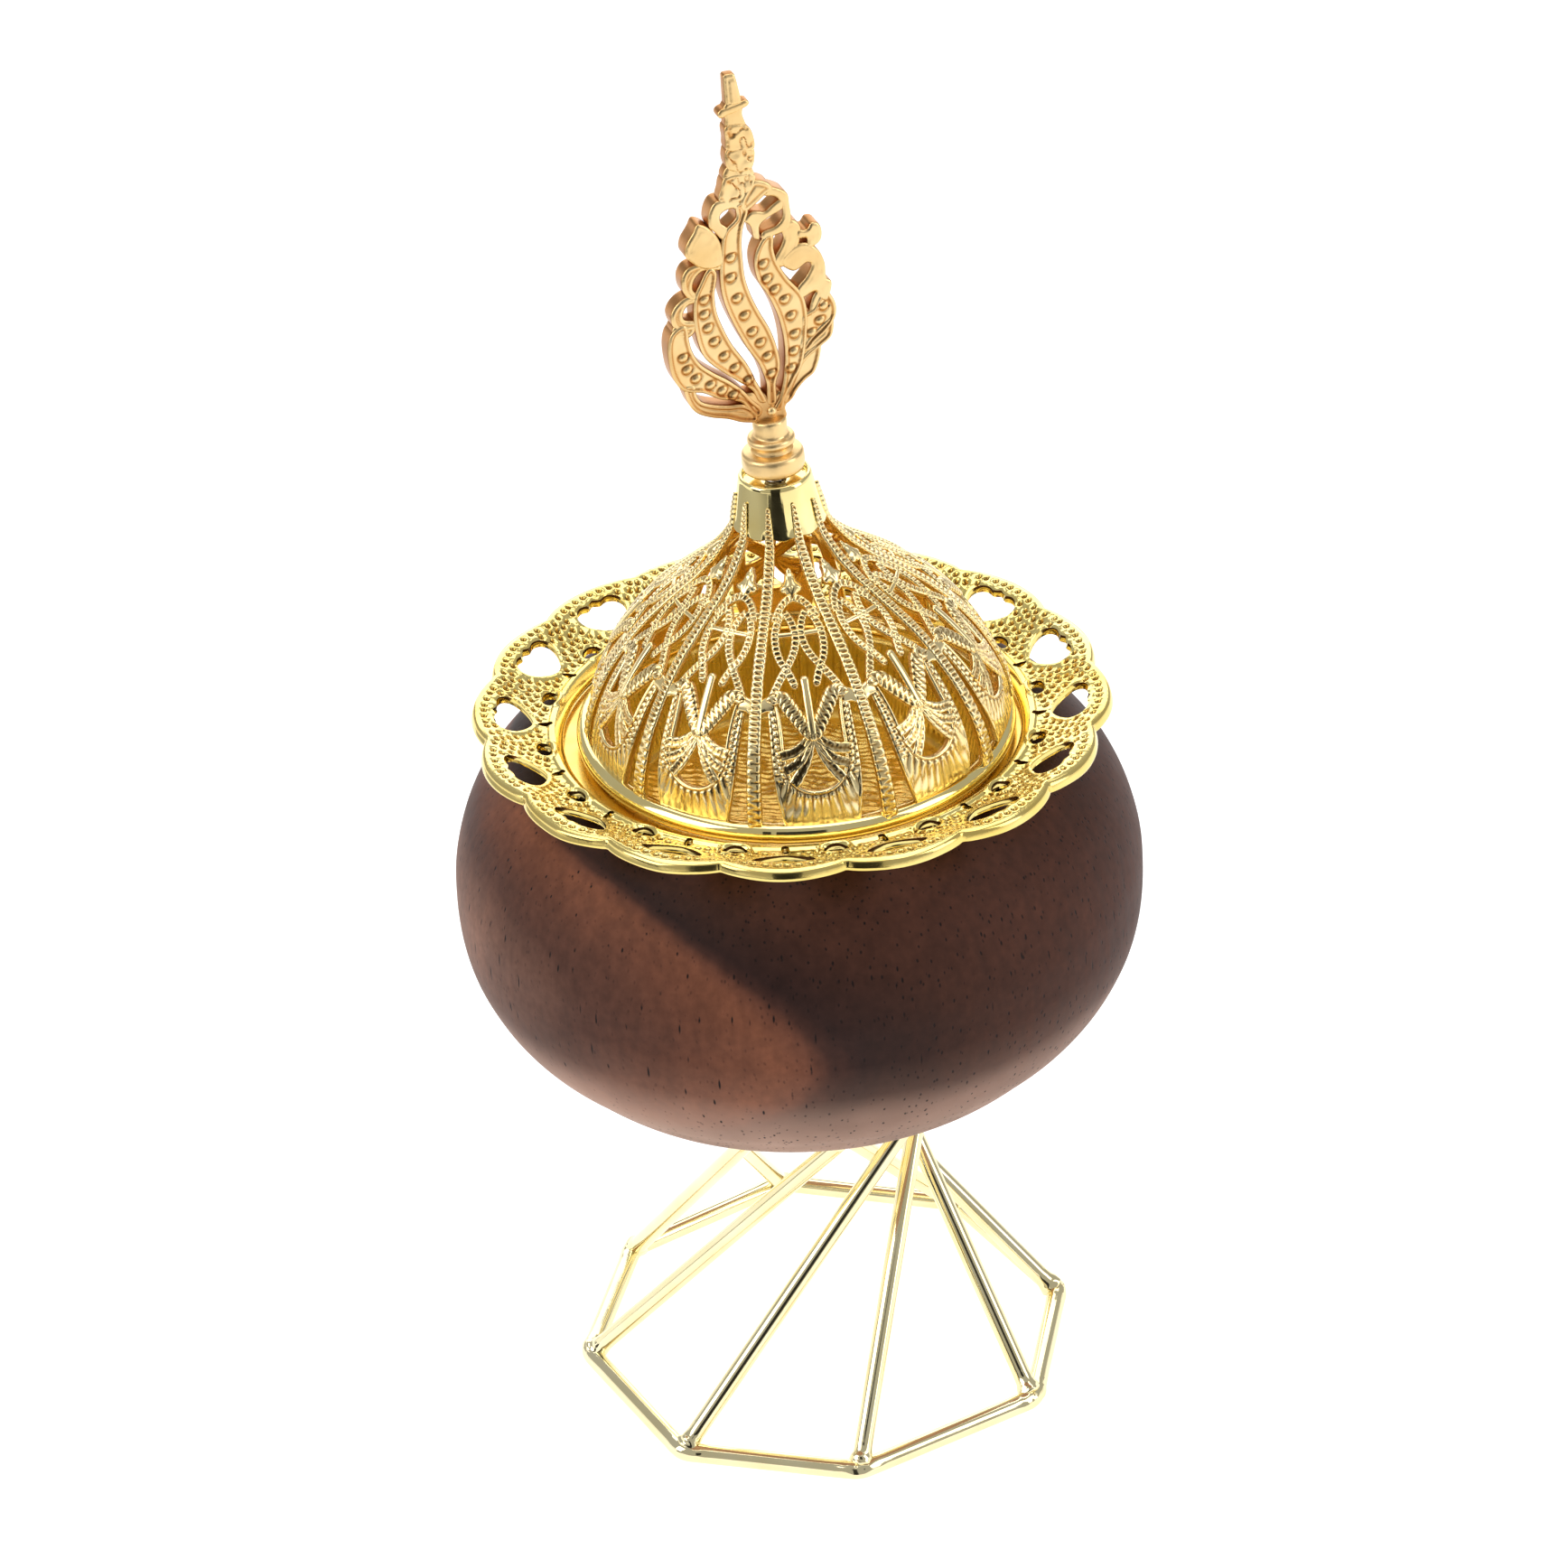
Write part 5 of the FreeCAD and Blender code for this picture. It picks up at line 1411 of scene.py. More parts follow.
def make_dome():
    soup = Soup()
    for b, c in enumerate(BAYS):
        # rib on the left of the bay
        rib = c - math.radians(18.0)
        hi = 38.3 + 0.45 * math.sin(b * 2.4)
        strand(soup, rib, [(0, 0.2), (0, 4), (0, 8), (0, 12.2)], width=(2.25, 2.05, 1.85), up=0.64, down=0.7, kind="double", pitch=0.85,
               seed=b, m=22, lift=-0.05)
        strand(soup, rib, [(0, 11.2), (0, 15), (0, 20), (0, 24), (0, 28), (0, 31), (0, 33.5), (0, 36), (0, hi)],
               width=(1.85, 1.8, 1.75, 1.7, 1.65, 1.55, 1.3, 0.55), up=(0.64, 0.64, 0.62, 0.6, 0.58, 0.5, 0.4, 0.25), down=0.62, kind="bead",
               pitch=0.80, seed=b + 20, free=(False, True), lift=(0, 0, 0, 0, 0, 0.1, 0.15, 0.1), m=22)
        # foot on the ring
        strand(soup, rib, [(0, 0.1), (0, 1.4)], width=2.6, up=0.55, down=0.8, kind="plain", seed=b, lift=-0.05)
        # U panel
        plate(soup, [PANEL_LOOP], 0.17, lambda xy, h, c=c: chart_to_dome(xy, h, c), panel_relief, WALL, WALL, bottom_spacing=0.8)
        # crossed ropes and the palmette under them
        for sg in (-1, 1):
            strand(soup, c, [(sg * 12.9, 16.9), (sg * 11.3, 17.5), (sg * 9.0, 17.4), (sg * 6.6, 16.4), (sg * 4.0, 15.0), (sg * 1.4, 13.5),
                             (sg * -1.0, 12.6)],
                   width=(1.7, 2.1, 2.2, 2.2, 2.15, 2.05, 1.8), up=0.64, down=0.6, kind="rope", pitch=0.95, seed=1 if sg > 0 else 2,
                   m=22, lift=0.05, free=(False, True))
            strand(soup, c, [(sg * 0.4, 13.4), (sg * 2.8, 12.2), (sg * 6.0, 11.3), (sg * 10.1, 10.9)], width=(1.1, 1.5, 1.6, 1.6), up=0.5, down=0.55,
                   kind="leaf", seed=b, lift=0.02, m=20)
            strand(soup, c, [(sg * 0.3, 13.2), (sg * 2.6, 11.3), (sg * 5.4, 9.9), (sg * 9.0, 9.1)], width=(1.0, 1.4, 1.6, 1.6), up=0.5, down=0.55,
                   kind="leaf", seed=b + 1, lift=-0.04, m=20)
            strand(soup, c, [(sg * 0.2, 13.0), (sg * 1.7, 11.2), (sg * 3.8, 9.3), (sg * 6.7, 7.3)], width=(1.0, 1.4, 1.6, 1.7), up=0.5, down=0.55,
                   kind="leaf", seed=b, lift=-0.07, m=20)
            # bright webs out to the ribs
            strand(soup, c, [(sg * 12.6, 16.9), (sg * 15.0, 16.7), (sg * 18.0, 16.3)], width=(2.3, 1.9, 2.3), up=0.42, down=0.5, kind="plain",
                   seed=b, lift=-0.05)
            # lens strands, crossing below
            strand(soup, c, [(sg * 6.4, 25.5), (sg * 3.2, 24.7), (sg * 1.5, 23.6), (sg * 2.2, 22.4), (sg * 4.6, 21.2), (sg * 7.0, 20.3), (sg * 9.6, 19.2),
                             (sg * 11.6, 18.1), (sg * 13.2, 16.9)], width=(1.1, 1.2, 1.2, 1.2, 1.22, 1.22, 1.25), up=0.54, down=0.55, kind="bead",
                   pitch=0.74, seed=b + 40, m=18)
            strand(soup, c, [(sg * 6.0, 25.4), (sg * 9.2, 25.0), (sg * 11.5, 23.9), (sg * 11.2, 22.4), (sg * 9.2, 21.1), (sg * 7.0, 20.3), (sg * 5.2, 19.4),
                             (sg * 3.7, 18.3)], width=(1.1, 1.2, 1.2, 1.2, 1.2, 1.2, 1.25), up=0.54, down=0.55, kind="bead", pitch=0.74, seed=b + 60,
                   free=(False, True), m=18)
            # arch under the bud
            strand(soup, c, [(sg * 0.0, 26.9), (sg * 4.6, 26.6), (sg * 8.4, 26.0), (sg * 11.0, 25.2), (sg * 12.2, 24.6)], width=(1.3, 1.2, 1.15, 1.1),
                   up=0.54, down=0.55, kind="bead", pitch=0.74, seed=b + 80, m=18)
            # links to the ribs
            strand(soup, c, [(sg * 10.5, 25.3), (sg * 18.0, 25.1)], width=1.0, up=0.42, down=0.5, kind="bead", pitch=0.8, seed=b, m=14)
        strand(soup, c, [(-11.6, 23.45), (-6.0, 23.5), (0, 23.5), (6.0, 23.5), (11.6, 23.45)], width=0.75, up=0.40, down=0.45, kind="plain", seed=b, m=14)
        # pin
        strand(soup, c, [(-0.3, 19.5), (-0.15, 17.0), (0.0, 13.2)], width=(1.25, 1.2, 1.15), up=0.62, down=0.5, kind="plain", seed=b,
               free=(True, False), lift=0.12, m=22)
        # bud
        base = np.array([0.0, arc_of(26.75)])
        loop = loop_from([(p[0], p[1] + base[1]) for p in BUD], 0.2)

        def bud_top(xy, d):
            h = 0.62 * (1 - np.exp(-(d / 0.45) ** 1.3))
            return h - 0.20 * np.exp(-((xy[:, 0]) / 0.22) ** 2) * np.clip(d / 0.3, 0, 1)
        plate(soup, [loop], 0.22, lambda xy, h, c=c: chart_to_dome(xy, h, c), bud_top, WALL[:-1], WALL[:-1], bottom_spacing=None)
    return soup


build("lid_dome_openwork", make_dome(), MAT_DOME, "lid", ["lid_dome"], sharp=80)


# ------------------------------------------------------------------ collar
def make_collar():
    soup = Soup()
    prof = [(6.62, 33.4), (6.5, 34.0), (6.31, 35.0), (6.09, 36.2), (5.86, 37.4), (5.62, 38.6), (5.42, 39.6), (5.27, 40.3), (5.17, 40.75),
            (5.02, 40.95), (4.86, 41.0), (4.68, 40.96), (4.56, 40.8), (4.52, 40.5), (4.52, 40.2), (4.42, 40.1), (4.0, 40.1), (3.0, 40.1),
            (1.75, 40.1), (1.6, 40.0), (1.6, 39.4), (1.75, 39.3), (3.0, 39.3), (4.3, 39.3), (4.68, 39.15), (4.86, 38.4), (5.1, 37.0),
            (5.4, 35.4), (5.75, 33.9), (5.95, 33.25), (6.3, 33.05)]

    def scal(v, r, th, z):
        v = v.copy()
        # th is measured from +X; bays from the front
        low = np.clip((34.6 - z) / 1.6, 0, 1)
        c = np.cos((th + math.pi / 2 - math.radians(5.0)) * 10)
        v[:, 2] += low * (0.28 - 0.30 * c)
        k = 1 + low * 0.018 * (0.5 - 0.5 * c)
        v[:, 0] *= k
        v[:, 1] *= k
        return v
    lathe(soup, prof, 240, move=lean, move_fn=scal)
    v, t, q = soup.arrays()
    return v, t[:, ::-1], q[:, ::-1]


build("lid_collar_polished", make_collar(), MAT_LID, "lid", ["lid_collar"], sharp=45)

# ------------------------------------------------------------------ finial leaf
TURN = math.radians(18.0)
HALF = 1.22
LEAF = {
    "blade_a": [(-2.13, 81.3), (-3.85, 79.5), (-4.7, 75.7), (-5.02, 73.0), (-4.95, 70.3), (-4.35, 67.5), (-3.37, 64.55),
                (-2.14, 61.5), (-0.65, 58.45), (-0.03, 55.6), (-0.2, 52.0), (0.9, 52.0), (1.1, 55.3), (1.84, 57.8), (1.59, 60.6),
                (0.85, 63.5), (-0.39, 66.5), (-1.38, 69.4), (-1.94, 72.2), (-2.0, 75.0), (-1.91, 77.5), (-1.44, 79.9),
                (-0.3, 82.1), (-0.6, 83.4), (-2.0, 83.4)],
    "blade_b": [(1.85, 77.5), (0.2, 75.0), (0.23, 71.7), (1.59, 68.65), (2.58, 65.7), (3.08, 62.9), (3.21, 60.2), (2.97, 57.5),
                (2.35, 55.0), (1.35, 52.5), (0.5, 51.0), (1.6, 50.8), (2.3, 52.3), (3.6, 54.6), (4.97, 57.0), (5.71, 59.5),
                (6.2, 62.1), (6.44, 64.7), (6.06, 67.5), (4.06, 70.7), (2.8, 73.7), (2.5, 75.6), (2.6, 77.5)],
    "blade_c": [(-6.53, 74.6), (-8.14, 72.4), (-8.9, 71.0), (-9.3, 68.7), (-9.3, 66.0), (-8.94, 63.3), (-8.45, 61.8),
                (-7.35, 60.2), (-5.5, 58.3), (-3.64, 56.5), (-2.15, 54.8), (-1.3, 52.6), (-0.4, 52.6), (-1.1, 54.6),
                (-1.77, 56.0), (-2.89, 59.0), (-4.61, 62.2), (-5.72, 65.15), (-6.44, 68.0), (-6.5, 70.7), (-5.9, 74.0)],
    "blade_d": [(-11.0, 66.9), (-12.6, 66.3), (-13.3, 64.9), (-13.5, 62.3), (-13.1, 59.5), (-11.9, 57.4), (-9.23, 56.4),
                (-7.1, 54.8), (-5.14, 54.0), (-3.94, 53.3), (-2.8, 51.4), (-1.8, 50.4), (-1.1, 51.5), (-2.5, 53.5),
                (-3.77, 55.2), (-5.63, 57.0), (-7.97, 59.0), (-9.57, 60.75), (-10.5, 62.9), (-10.8, 64.8)],
    "blade_e": [(-11.9, 57.8), (-11.6, 55.2), (-10.57, 53.4), (-8.65, 52.2), (-6.2, 51.3), (-4.0, 50.2), (-2.0, 49.9),
                (-1.9, 51.2), (-3.6, 52.9), (-6.0, 53.4), (-8.4, 54.2), (-9.7, 55.0), (-10.3, 56.2), (-10.4, 57.6)],
    "scallop_1": [(-5.0, 75.6), (-8.06, 75.8), (-9.75, 75.4), (-10.65, 74.1), (-10.6, 72.0), (-9.5, 70.5), (-8.5, 70.9),
                  (-9.2, 72.2), (-8.8, 73.6), (-7.6, 74.5), (-4.9, 74.2)],
    "scallop_2": [(-9.0, 71.3), (-11.0, 70.9), (-12.3, 69.8), (-12.8, 68.5), (-12.1, 66.6), (-9.0, 66.2), (-8.9, 67.2),
                  (-10.8, 67.9), (-11.0, 68.7), (-10.3, 69.8), (-8.9, 70.2)],
    "scallop_3": [(-11.0, 67.3), (-12.4, 67.2), (-12.8, 66.0), (-10.6, 65.0), (-9.2, 66.4)],
    "blade_f": [(9.4, 67.2), (10.6, 65.3), (10.5, 63.2), (9.1, 61.4), (7.4, 60.2), (6.0, 59.0), (5.4, 59.6), (6.0, 62.0),
                (6.2, 64.2), (7.8, 64.9)],
    "blade_g": [(10.3, 63.4), (10.0, 60.3), (8.1, 58.9), (6.2, 57.7), (4.9, 56.6), (5.0, 58.4), (6.2, 60.4), (9.0, 62.6)],
    "blade_h": [(8.2, 59.4), (7.1, 55.4), (5.6, 54.4), (4.2, 53.1), (3.6, 52.2), (2.4, 51.4), (1.6, 51.6), (2.6, 53.3),
                (3.8, 55.5), (4.8, 57.4), (6.4, 59.0)],
    "bud_l": [(-7.66, 81.7), (-8.4, 80.6), (-9.6, 78.9), (-9.85, 77.5), (-8.8, 76.0), (-7.2, 74.8), (-4.7, 75.0), (-4.6, 77.9),
              (-5.2, 79.5), (-6.4, 81.1)],
    "scroll_l": [(-3.0, 84.4), (-4.9, 84.3), (-5.9, 82.8), (-6.1, 81.0), (-5.3, 79.9), (-4.3, 78.6), (-3.2, 79.6),
                 (-3.6, 80.4), (-4.3, 81.2), (-4.2, 82.4), (-2.6, 82.9), (-1.5, 82.2), (-1.5, 84.2)],
    "arc_r": [(-0.8, 82.0), (1.1, 83.0), (2.4, 83.9), (3.4, 84.3), (3.2, 85.2), (1.9, 86.1), (0.8, 86.3), (-0.2, 85.4),
              (-1.4, 83.4)],
    "scroll_r1": [(2.6, 84.9), (4.6, 84.1), (5.5, 83.2), (5.65, 81.4), (5.7, 79.1), (5.2, 77.9), (3.0, 77.4), (1.4, 77.0),
                  (1.3, 78.2), (3.4, 78.8), (4.4, 79.8), (4.4, 82.2), (3.6, 83.2), (2.2, 83.7)],
    "scroll_r2": [(-1.0, 80.6), (0.1, 81.7), (1.4, 81.5), (2.0, 81.3), (3.3, 82.1), (4.6, 82.6), (4.7, 81.2), (2.6, 80.3),
                  (1.2, 79.4), (0.9, 77.3), (0.2, 77.6), (-0.2, 79.6)],
    "band_r1": [(4.0, 78.4), (5.7, 79.2), (6.9, 78.0), (6.6, 75.7), (5.4, 73.3), (3.6, 72.4), (2.4, 73.4), (3.6, 75.2),
                (4.3, 76.8)],
    "band_r2": [(3.4, 73.4), (5.8, 75.3), (7.6, 75.2), (9.1, 73.8), (9.9, 71.6), (9.95, 69.3), (10.6, 68.6), (10.3, 66.9),
                (9.6, 65.8), (8.6, 66.4), (8.2, 67.6), (5.9, 67.0), (5.5, 68.5), (7.1, 70.2), (7.9, 71.8), (7.3, 72.2),
                (5.5, 71.4), (4.4, 72.0)],
    "bud_r": [(8.4, 78.0), (7.7, 77.2), (6.4, 77.5), (6.2, 76.2), (7.6, 75.9), (7.6, 74.4), (8.9, 74.6), (9.7, 75.4),
              (9.8, 77.1), (9.3, 77.9)],
    "link_f": [(9.9, 67.6), (8.2, 67.4), (7.0, 64.6), (7.2, 63.2), (8.2, 64.4), (9.8, 66.2)],
    "hub": [(-3.9, 54.4), (-2.6, 52.1), (-2.3, 49.5), (2.3, 49.5), (2.3, 51.0), (3.2, 52.6), (1.7, 53.6), (0.3, 52.8),
            (-0.8, 54.0)],
    "spire_4": [(-4.3, 84.5), (-2.4, 83.2), (-0.6, 82.9), (0.6, 85.0), (1.2, 87.0), (0.0, 87.7), (-3.2, 87.6), (-3.9, 86.0)],
    "spire_3": [(-3.35, 87.4), (1.0, 86.4), (0.7, 88.4), (-2.5, 89.2)],
    "spire_2": [(-2.5, 88.7), (0.7, 88.1), (1.45, 90.1), (1.35, 91.0), (-0.5, 91.6), (-2.5, 91.7)],
    "spire_1": [(-2.45, 91.6), (1.35, 90.9), (1.5, 92.8), (0.7, 94.6), (-2.3, 95.1), (-2.5, 93.0)],
    "neck": [(-2.2, 94.8), (0.55, 94.4), (0.3, 96.4), (0.6, 98.2), (-1.7, 98.4), (-2.4, 97.4), (-2.2, 96.2)],
    "arms": [(-3.2, 97.15), (-3.1, 96.6), (-2.6, 96.35), (-2.0, 96.6), (-0.8, 96.75), (0.3, 97.1), (0.95, 97.3), (1.35, 97.6),
             (1.3, 98.1), (0.85, 98.3), (0.2, 98.15), (-0.8, 98.0), (-1.9, 97.8), (-2.7, 97.65)],
    "tip": [(-1.95, 97.9), (0.42, 97.9), (0.22, 99.5), (0.0, 101.2), (-0.16, 102.2), (-0.36, 102.45), (-1.6, 102.5), (-1.82, 102.3), (-1.88, 101.0)],
}
DOTS = {
    "blade_a": [(-3.39, 75.68), (-3.68, 72.71), (-3.09, 69.38), (-2.25, 66.52), (-1.39, 63.78), (-0.39, 61.84), (0.45, 59.52), (0.72, 56.77)],
    "blade_b": [(1.13, 73.58), (1.43, 71.29), (2.44, 69.37), (3.72, 67.51), (4.39, 64.83), (4.66, 61.95), (4.29, 59.37), (3.66, 56.86)],
    "blade_c": [(-7.73, 70.27), (-7.94, 68.1), (-7.63, 65.94), (-6.94, 63.66), (-5.74, 61.11), (-4.37, 58.93), (-2.61, 56.64)],
    "blade_d": [(-11.6, 62.29), (-11.2, 60.35), (-10.1, 58.7), (-8.12, 57.2), (-6.5, 55.9), (-5.0, 54.9)],
    "blade_f": [(9.2, 65.14), (8.48, 63.08), (7.14, 61.46)],
}
# height of each piece's face, so that overlapping pieces read as layers
FACE = {"blade_a": 0.0, "blade_b": 0.0, "blade_c": -0.02, "blade_d": -0.04, "blade_e": -0.10, "scallop_1": -0.16, "scallop_2": -0.2,
        "scallop_3": -0.24, "blade_f": -0.06, "blade_g": -0.16, "blade_h": -0.22, "bud_l": -0.02, "scroll_l": -0.05, "arc_r": 0.03,
        "scroll_r1": -0.05, "scroll_r2": -0.12, "band_r1": -0.10, "band_r2": -0.06, "bud_r": 0.0, "link_f": -0.2, "hub": -0.3,
        "spire_4": 0.0, "spire_3": -0.10, "spire_2": 0.02, "spire_1": 0.04, "neck": -0.22, "arms": -0.12, "tip": -0.16}


def leaf_to3d(uv, h, side):
    n = np.array([math.sin(TURN), -math.cos(TURN), 0.0])
    p = np.stack([uv[:, 0] * math.cos(TURN), uv[:, 0] * math.sin(TURN), uv[:, 1]], 1) + side * n * np.asarray(h)[:, None]
    return lean(p)


def leaf_height(name, uv, d, side):
    base = HALF + FACE[name]
    u, t = uv[:, 0], uv[:, 1]
    h = np.full(len(uv), base)
    rnd = np.clip(d / 0.22, 0, 1)
    h -= 0.10 * (1 - rnd) ** 2
    if name in DOTS or name in ("blade_e", "blade_g", "blade_h"):
        w = 0.36 if name in DOTS else 0.34
        s = np.clip((d - w) / 0.16, 0, 1)
        h -= 0.20 * s * s * (3 - 2 * s)
        h += 0.03 * noise2(u * 1.3, t * 1.3, 3) * s
    if name in ("blade_e", "blade_g"):
        h += 0.16 * np.exp(-((d - 0.85) / 0.12) ** 2)
    if name in DOTS:
        for (du, dt) in DOTS[name]:
            x = u - du
            y = t - dt
            a = 0.55
            xr = x * math.cos(a) + y * math.sin(a)
            yr = -x * math.sin(a) + y * math.cos(a)
            q = np.sqrt((xr / 1.28) ** 2 + (yr / (1.0 - 0.28 * np.clip(xr, -0.7, 0.7))) ** 2)
            m = q < 1.3
            bumpy = 0.30 * np.clip(1 - (q / 0.60) ** 2, 0, 1) ** 0.6
            h = np.where(m, h + bumpy - 0.09 * np.exp(-((q - 0.72) / 0.13) ** 2), h)
    if name.startswith("scallop") or name in ("bud_l", "bud_r", "arc_r", "band_r1", "band_r2"):
        h += 0.05 * np.clip(d / 0.8, 0, 1)
        h -= 0.10 * np.exp(-((d - 0.62) / 0.12) ** 2) * (1 if name in ("arc_r",) or name.startswith("scallop") else 0.25)
        h += 0.04 * noise2(u * 1.1 + 5, t * 1.1, 9)
    if name.startswith("spire"):
        # worn cast ornament: creases and lumps
        k = noise2(u * 1.25 + 3.1, t * 1.05 + 1.7, 4)
        h -= 0.22 * np.exp(-(k / 0.10) ** 2) * np.clip(d / 0.4, 0, 1)
        h += 0.10 * noise2(u * 0.9, t * 0.9 + 4, 6)
    if name == "tip":
        h -= 0.10 * np.clip((t - 98.5) / 4.0, 0, 1)
        h += 0.10 * np.clip((u + 1.15) / 0.1, 0, 1) * np.clip((101.8 - t) / 0.5, 0, 1) - 0.10
    if name == "hub":
        h += 0.10 * np.cos(u * 2.4)
    return h


def leaf_painted_shade(name, uv, d):
    """painted shade: thin dark outlines in the creases of the casting, dark rings round the dots and darker stems low
    on the leaf
    """
    u, t = uv[:, 0], uv[:, 1]
    w = np.ones(len(uv))
    if name in DOTS or name in ("blade_e", "blade_g", "blade_h"):
        w -= 0.62 * np.exp(-((d - 0.44) / 0.13) ** 2)
    if name in DOTS:
        for (du, dt) in DOTS[name]:
            x = u - du
            y = t - dt
            a = 0.55
            xr = x * math.cos(a) + y * math.sin(a)
            yr = -x * math.sin(a) + y * math.cos(a)
            q = np.sqrt((xr / 1.28) ** 2 + (yr / (1.0 - 0.28 * np.clip(xr, -0.7, 0.7))) ** 2)
            w -= 0.72 * np.exp(-((q - 0.66) / 0.13) ** 2)
    if name.startswith("scallop") or name == "arc_r":
        w -= 0.45 * np.exp(-((d - 0.62) / 0.13) ** 2)
    if name.startswith("spire"):
        k = noise2(u * 1.25 + 3.1, t * 1.05 + 1.7, 4)
        w -= 0.6 * np.exp(-(k / 0.13) ** 2) * np.clip(d / 0.4, 0, 1)
    # painted shade: the stems darken where they run together
    w = w - 0.34 * np.clip((56.0 - uv[:, 1]) / 4.5, 0, 1)
    return np.clip(w, 0, 1)


BACK = 1.0


def make_leaf():
    soup = Soup()
    for name, pts in LEAF.items():
        p = np.asarray(pts, float)
        if name == "tip":
            loop = resample(p, 0.24, closed=True)
        else:
            loop = resample(catmull(p, 8, closed=True), 0.24, closed=True)
        loop = ccw(loop)
        inset = 0.13
        nrm = loop_normals(loop)
        thick = 0.0 if name.startswith("spire") or name in ("neck", "arms", "tip") else BACK
        if name in DOTS:
            # the dotted blades are a little fuller than their drawn outline
            loop = loop + nrm * np.interp(loop[:, 1], [53.0, 57.0, 80.0, 82.0], [0.0, 0.26, 0.26, 0.0])[:, None]
            nrm = loop_normals(loop)
        inner = loop - nrm * inset
        coords, tri = fill([inner], 0.19)
        d = dist_to(coords, [inner])
        m = len(inner)
        d[:m] = 0
        front = leaf_height(name, coords, d, 1)
        back = leaf_height(name, coords, d, -1) - 0.03 + thick
        painted_shade = leaf_painted_shade(name, coords, d)
        V = [leaf_to3d(coords, front, 1)]
        W = [painted_shade]
        T = [tri]
        Q = []
        base = len(coords)
        prev = np.arange(m)
        ef, eb = front[:m], back[:m]
        rings = []
        for (o, kf, kb) in [(0.10, 0.10, None), (0.13, 0.28, None), (0.13, 0.5, None), (0.13, None, 0.5), (0.13, None, 0.28), (0.10, None, 0.10)]:
            xy = inner + nrm * o
            # painted shade: the side walls are darkened, the rounded edges only a little
            W.append(np.full(m, 0.92 if (kf or kb) < 0.2 else 0.42))
            if kf is not None:
                hh = ef - (0.22 * kf / 0.28 if kf < 0.4 else 0.75)
                V.append(leaf_to3d(xy, hh, 1))
            else:
                hh = eb - (0.22 * kb / 0.28 if kb < 0.4 else 0.75)
                V.append(leaf_to3d(xy, hh, -1))
            cur = np.arange(base, base + m)
            base += m
            j = np.arange(m)
            j2 = (j + 1) % m
            Q.append(np.stack([prev[j], cur[j], cur[j2], prev[j2]], 1))
            prev = cur
        # back face
        V.append(leaf_to3d(coords, back, -1))
        W.append(painted_shade)
        cur = np.arange(base, base + m)
        j = np.arange(m)
        j2 = (j + 1) % m
        Q.append(np.stack([prev[j], cur[j], cur[j2], prev[j2]], 1))
        T.append(tri[:, ::-1] + base)
        soup.add(np.vstack(V), np.vstack(T), np.vstack(Q), np.concatenate(W))
    # small round boss where the blades meet
    ths = np.linspace(0, np.pi, 12)
    prof = np.stack([0.75 * np.sin(ths), 0.75 * np.cos(ths)], 1)
    prof[0, 0] = 0
    prof[-1, 0] = 0
    c = np.array([0.2 * math.cos(TURN) + 0.9 * math.sin(TURN), 0.2 * math.sin(TURN) - 0.9 * math.cos(TURN), 51.0])
    lathe(soup, prof, 20, move=lambda v: lean(v + c))
    return soup


build("finial_leaf_relief", make_leaf(), MAT_FINIAL, "finial", ["finial_leaf"], sharp=70)


# ------------------------------------------------------------------ finial base
def make_base():
    soup = Soup()
    prof = [(0.0, 49.7), (1.2, 49.7), (2.1, 49.68), (2.36, 49.5), (2.44, 49.2), (2.42, 48.2), (2.40, 47.6), (2.45, 47.2), (2.6, 47.0),
            (3.0, 46.93), (3.25, 46.8), (3.38, 46.55), (3.42, 46.25), (3.36, 45.95), (3.2, 45.75), (2.98, 45.66), (2.92, 45.5), (2.92, 44.95),
            (3.0, 44.75), (3.3, 44.66), (3.9, 44.6), (4.25, 44.45), (4.42, 44.15), (4.46, 43.8), (4.47, 43.2), (4.47, 42.7),
            (4.42, 42.2), (4.28, 41.85), (4.1, 41.72), (3.7, 41.7), (2.6, 41.7), (1.7, 41.7), (1.56, 41.85), (1.55, 42.6), (1.55, 43.42), (0.8, 43.42), (0.0, 43.42)]

    def dents(v, r, th, z):
        v = v.copy()
        k = 1 + np.where(r > 1.5, -0.006 + 0.006 * noise2(th * 3.2 + 1, z * 0.9, 3), 0)
        v[:, 0] *= k
        v[:, 1] *= k
        return v
    lathe(soup, prof, 160, move=lean, move_fn=dents)
    v, t, q = soup.arrays()
    return v, t[:, ::-1], q[:, ::-1]


build("finial_base_turned", make_base(), MAT_FINIAL, "finial", ["finial_base"], sharp=50)


# ------------------------------------------------------------------ plate under the ball and its screw
def oriented(soup):
    """faces of a closed piece turned outward"""
    v, t, q = soup.arrays()
    tri = np.vstack([t, q[:, [0, 1, 2]], q[:, [0, 2, 3]]])
    a = v[tri]
    vol = np.einsum("ij,ij->i", a[:, 0], np.cross(a[:, 1], a[:, 2])).sum()
    return (v, t, q) if vol > 0 else (v, t[:, ::-1], q[:, ::-1])


soup = Soup()
prof = [(2.52, 47.75), (2.65, 47.6)] + [(r, 47.6) for r in np.linspace(3.4, 18.6, 20)]
prof += [(19.1, 47.63), (19.4, 47.75), (19.55, 47.95), (19.58, 48.15), (19.52, 48.4), (19.3, 48.55), (19.0, 48.59)]
prof += [(r, 48.6) for r in np.linspace(18.2, 3.2, 8)] + [(2.65, 48.6), (2.52, 48.45)]


def stamped(v, r, th, z):
    # light press marks on the underside
    v = v.copy()
    low = (z < 47.65) & (r > 5.0) & (r < 18.0)
    v[:, 2] += np.where(low, 0.05 + 0.04 * noise2(v[:, 0] / 2.5, v[:, 1] / 2.5, 3), 0)
    return v


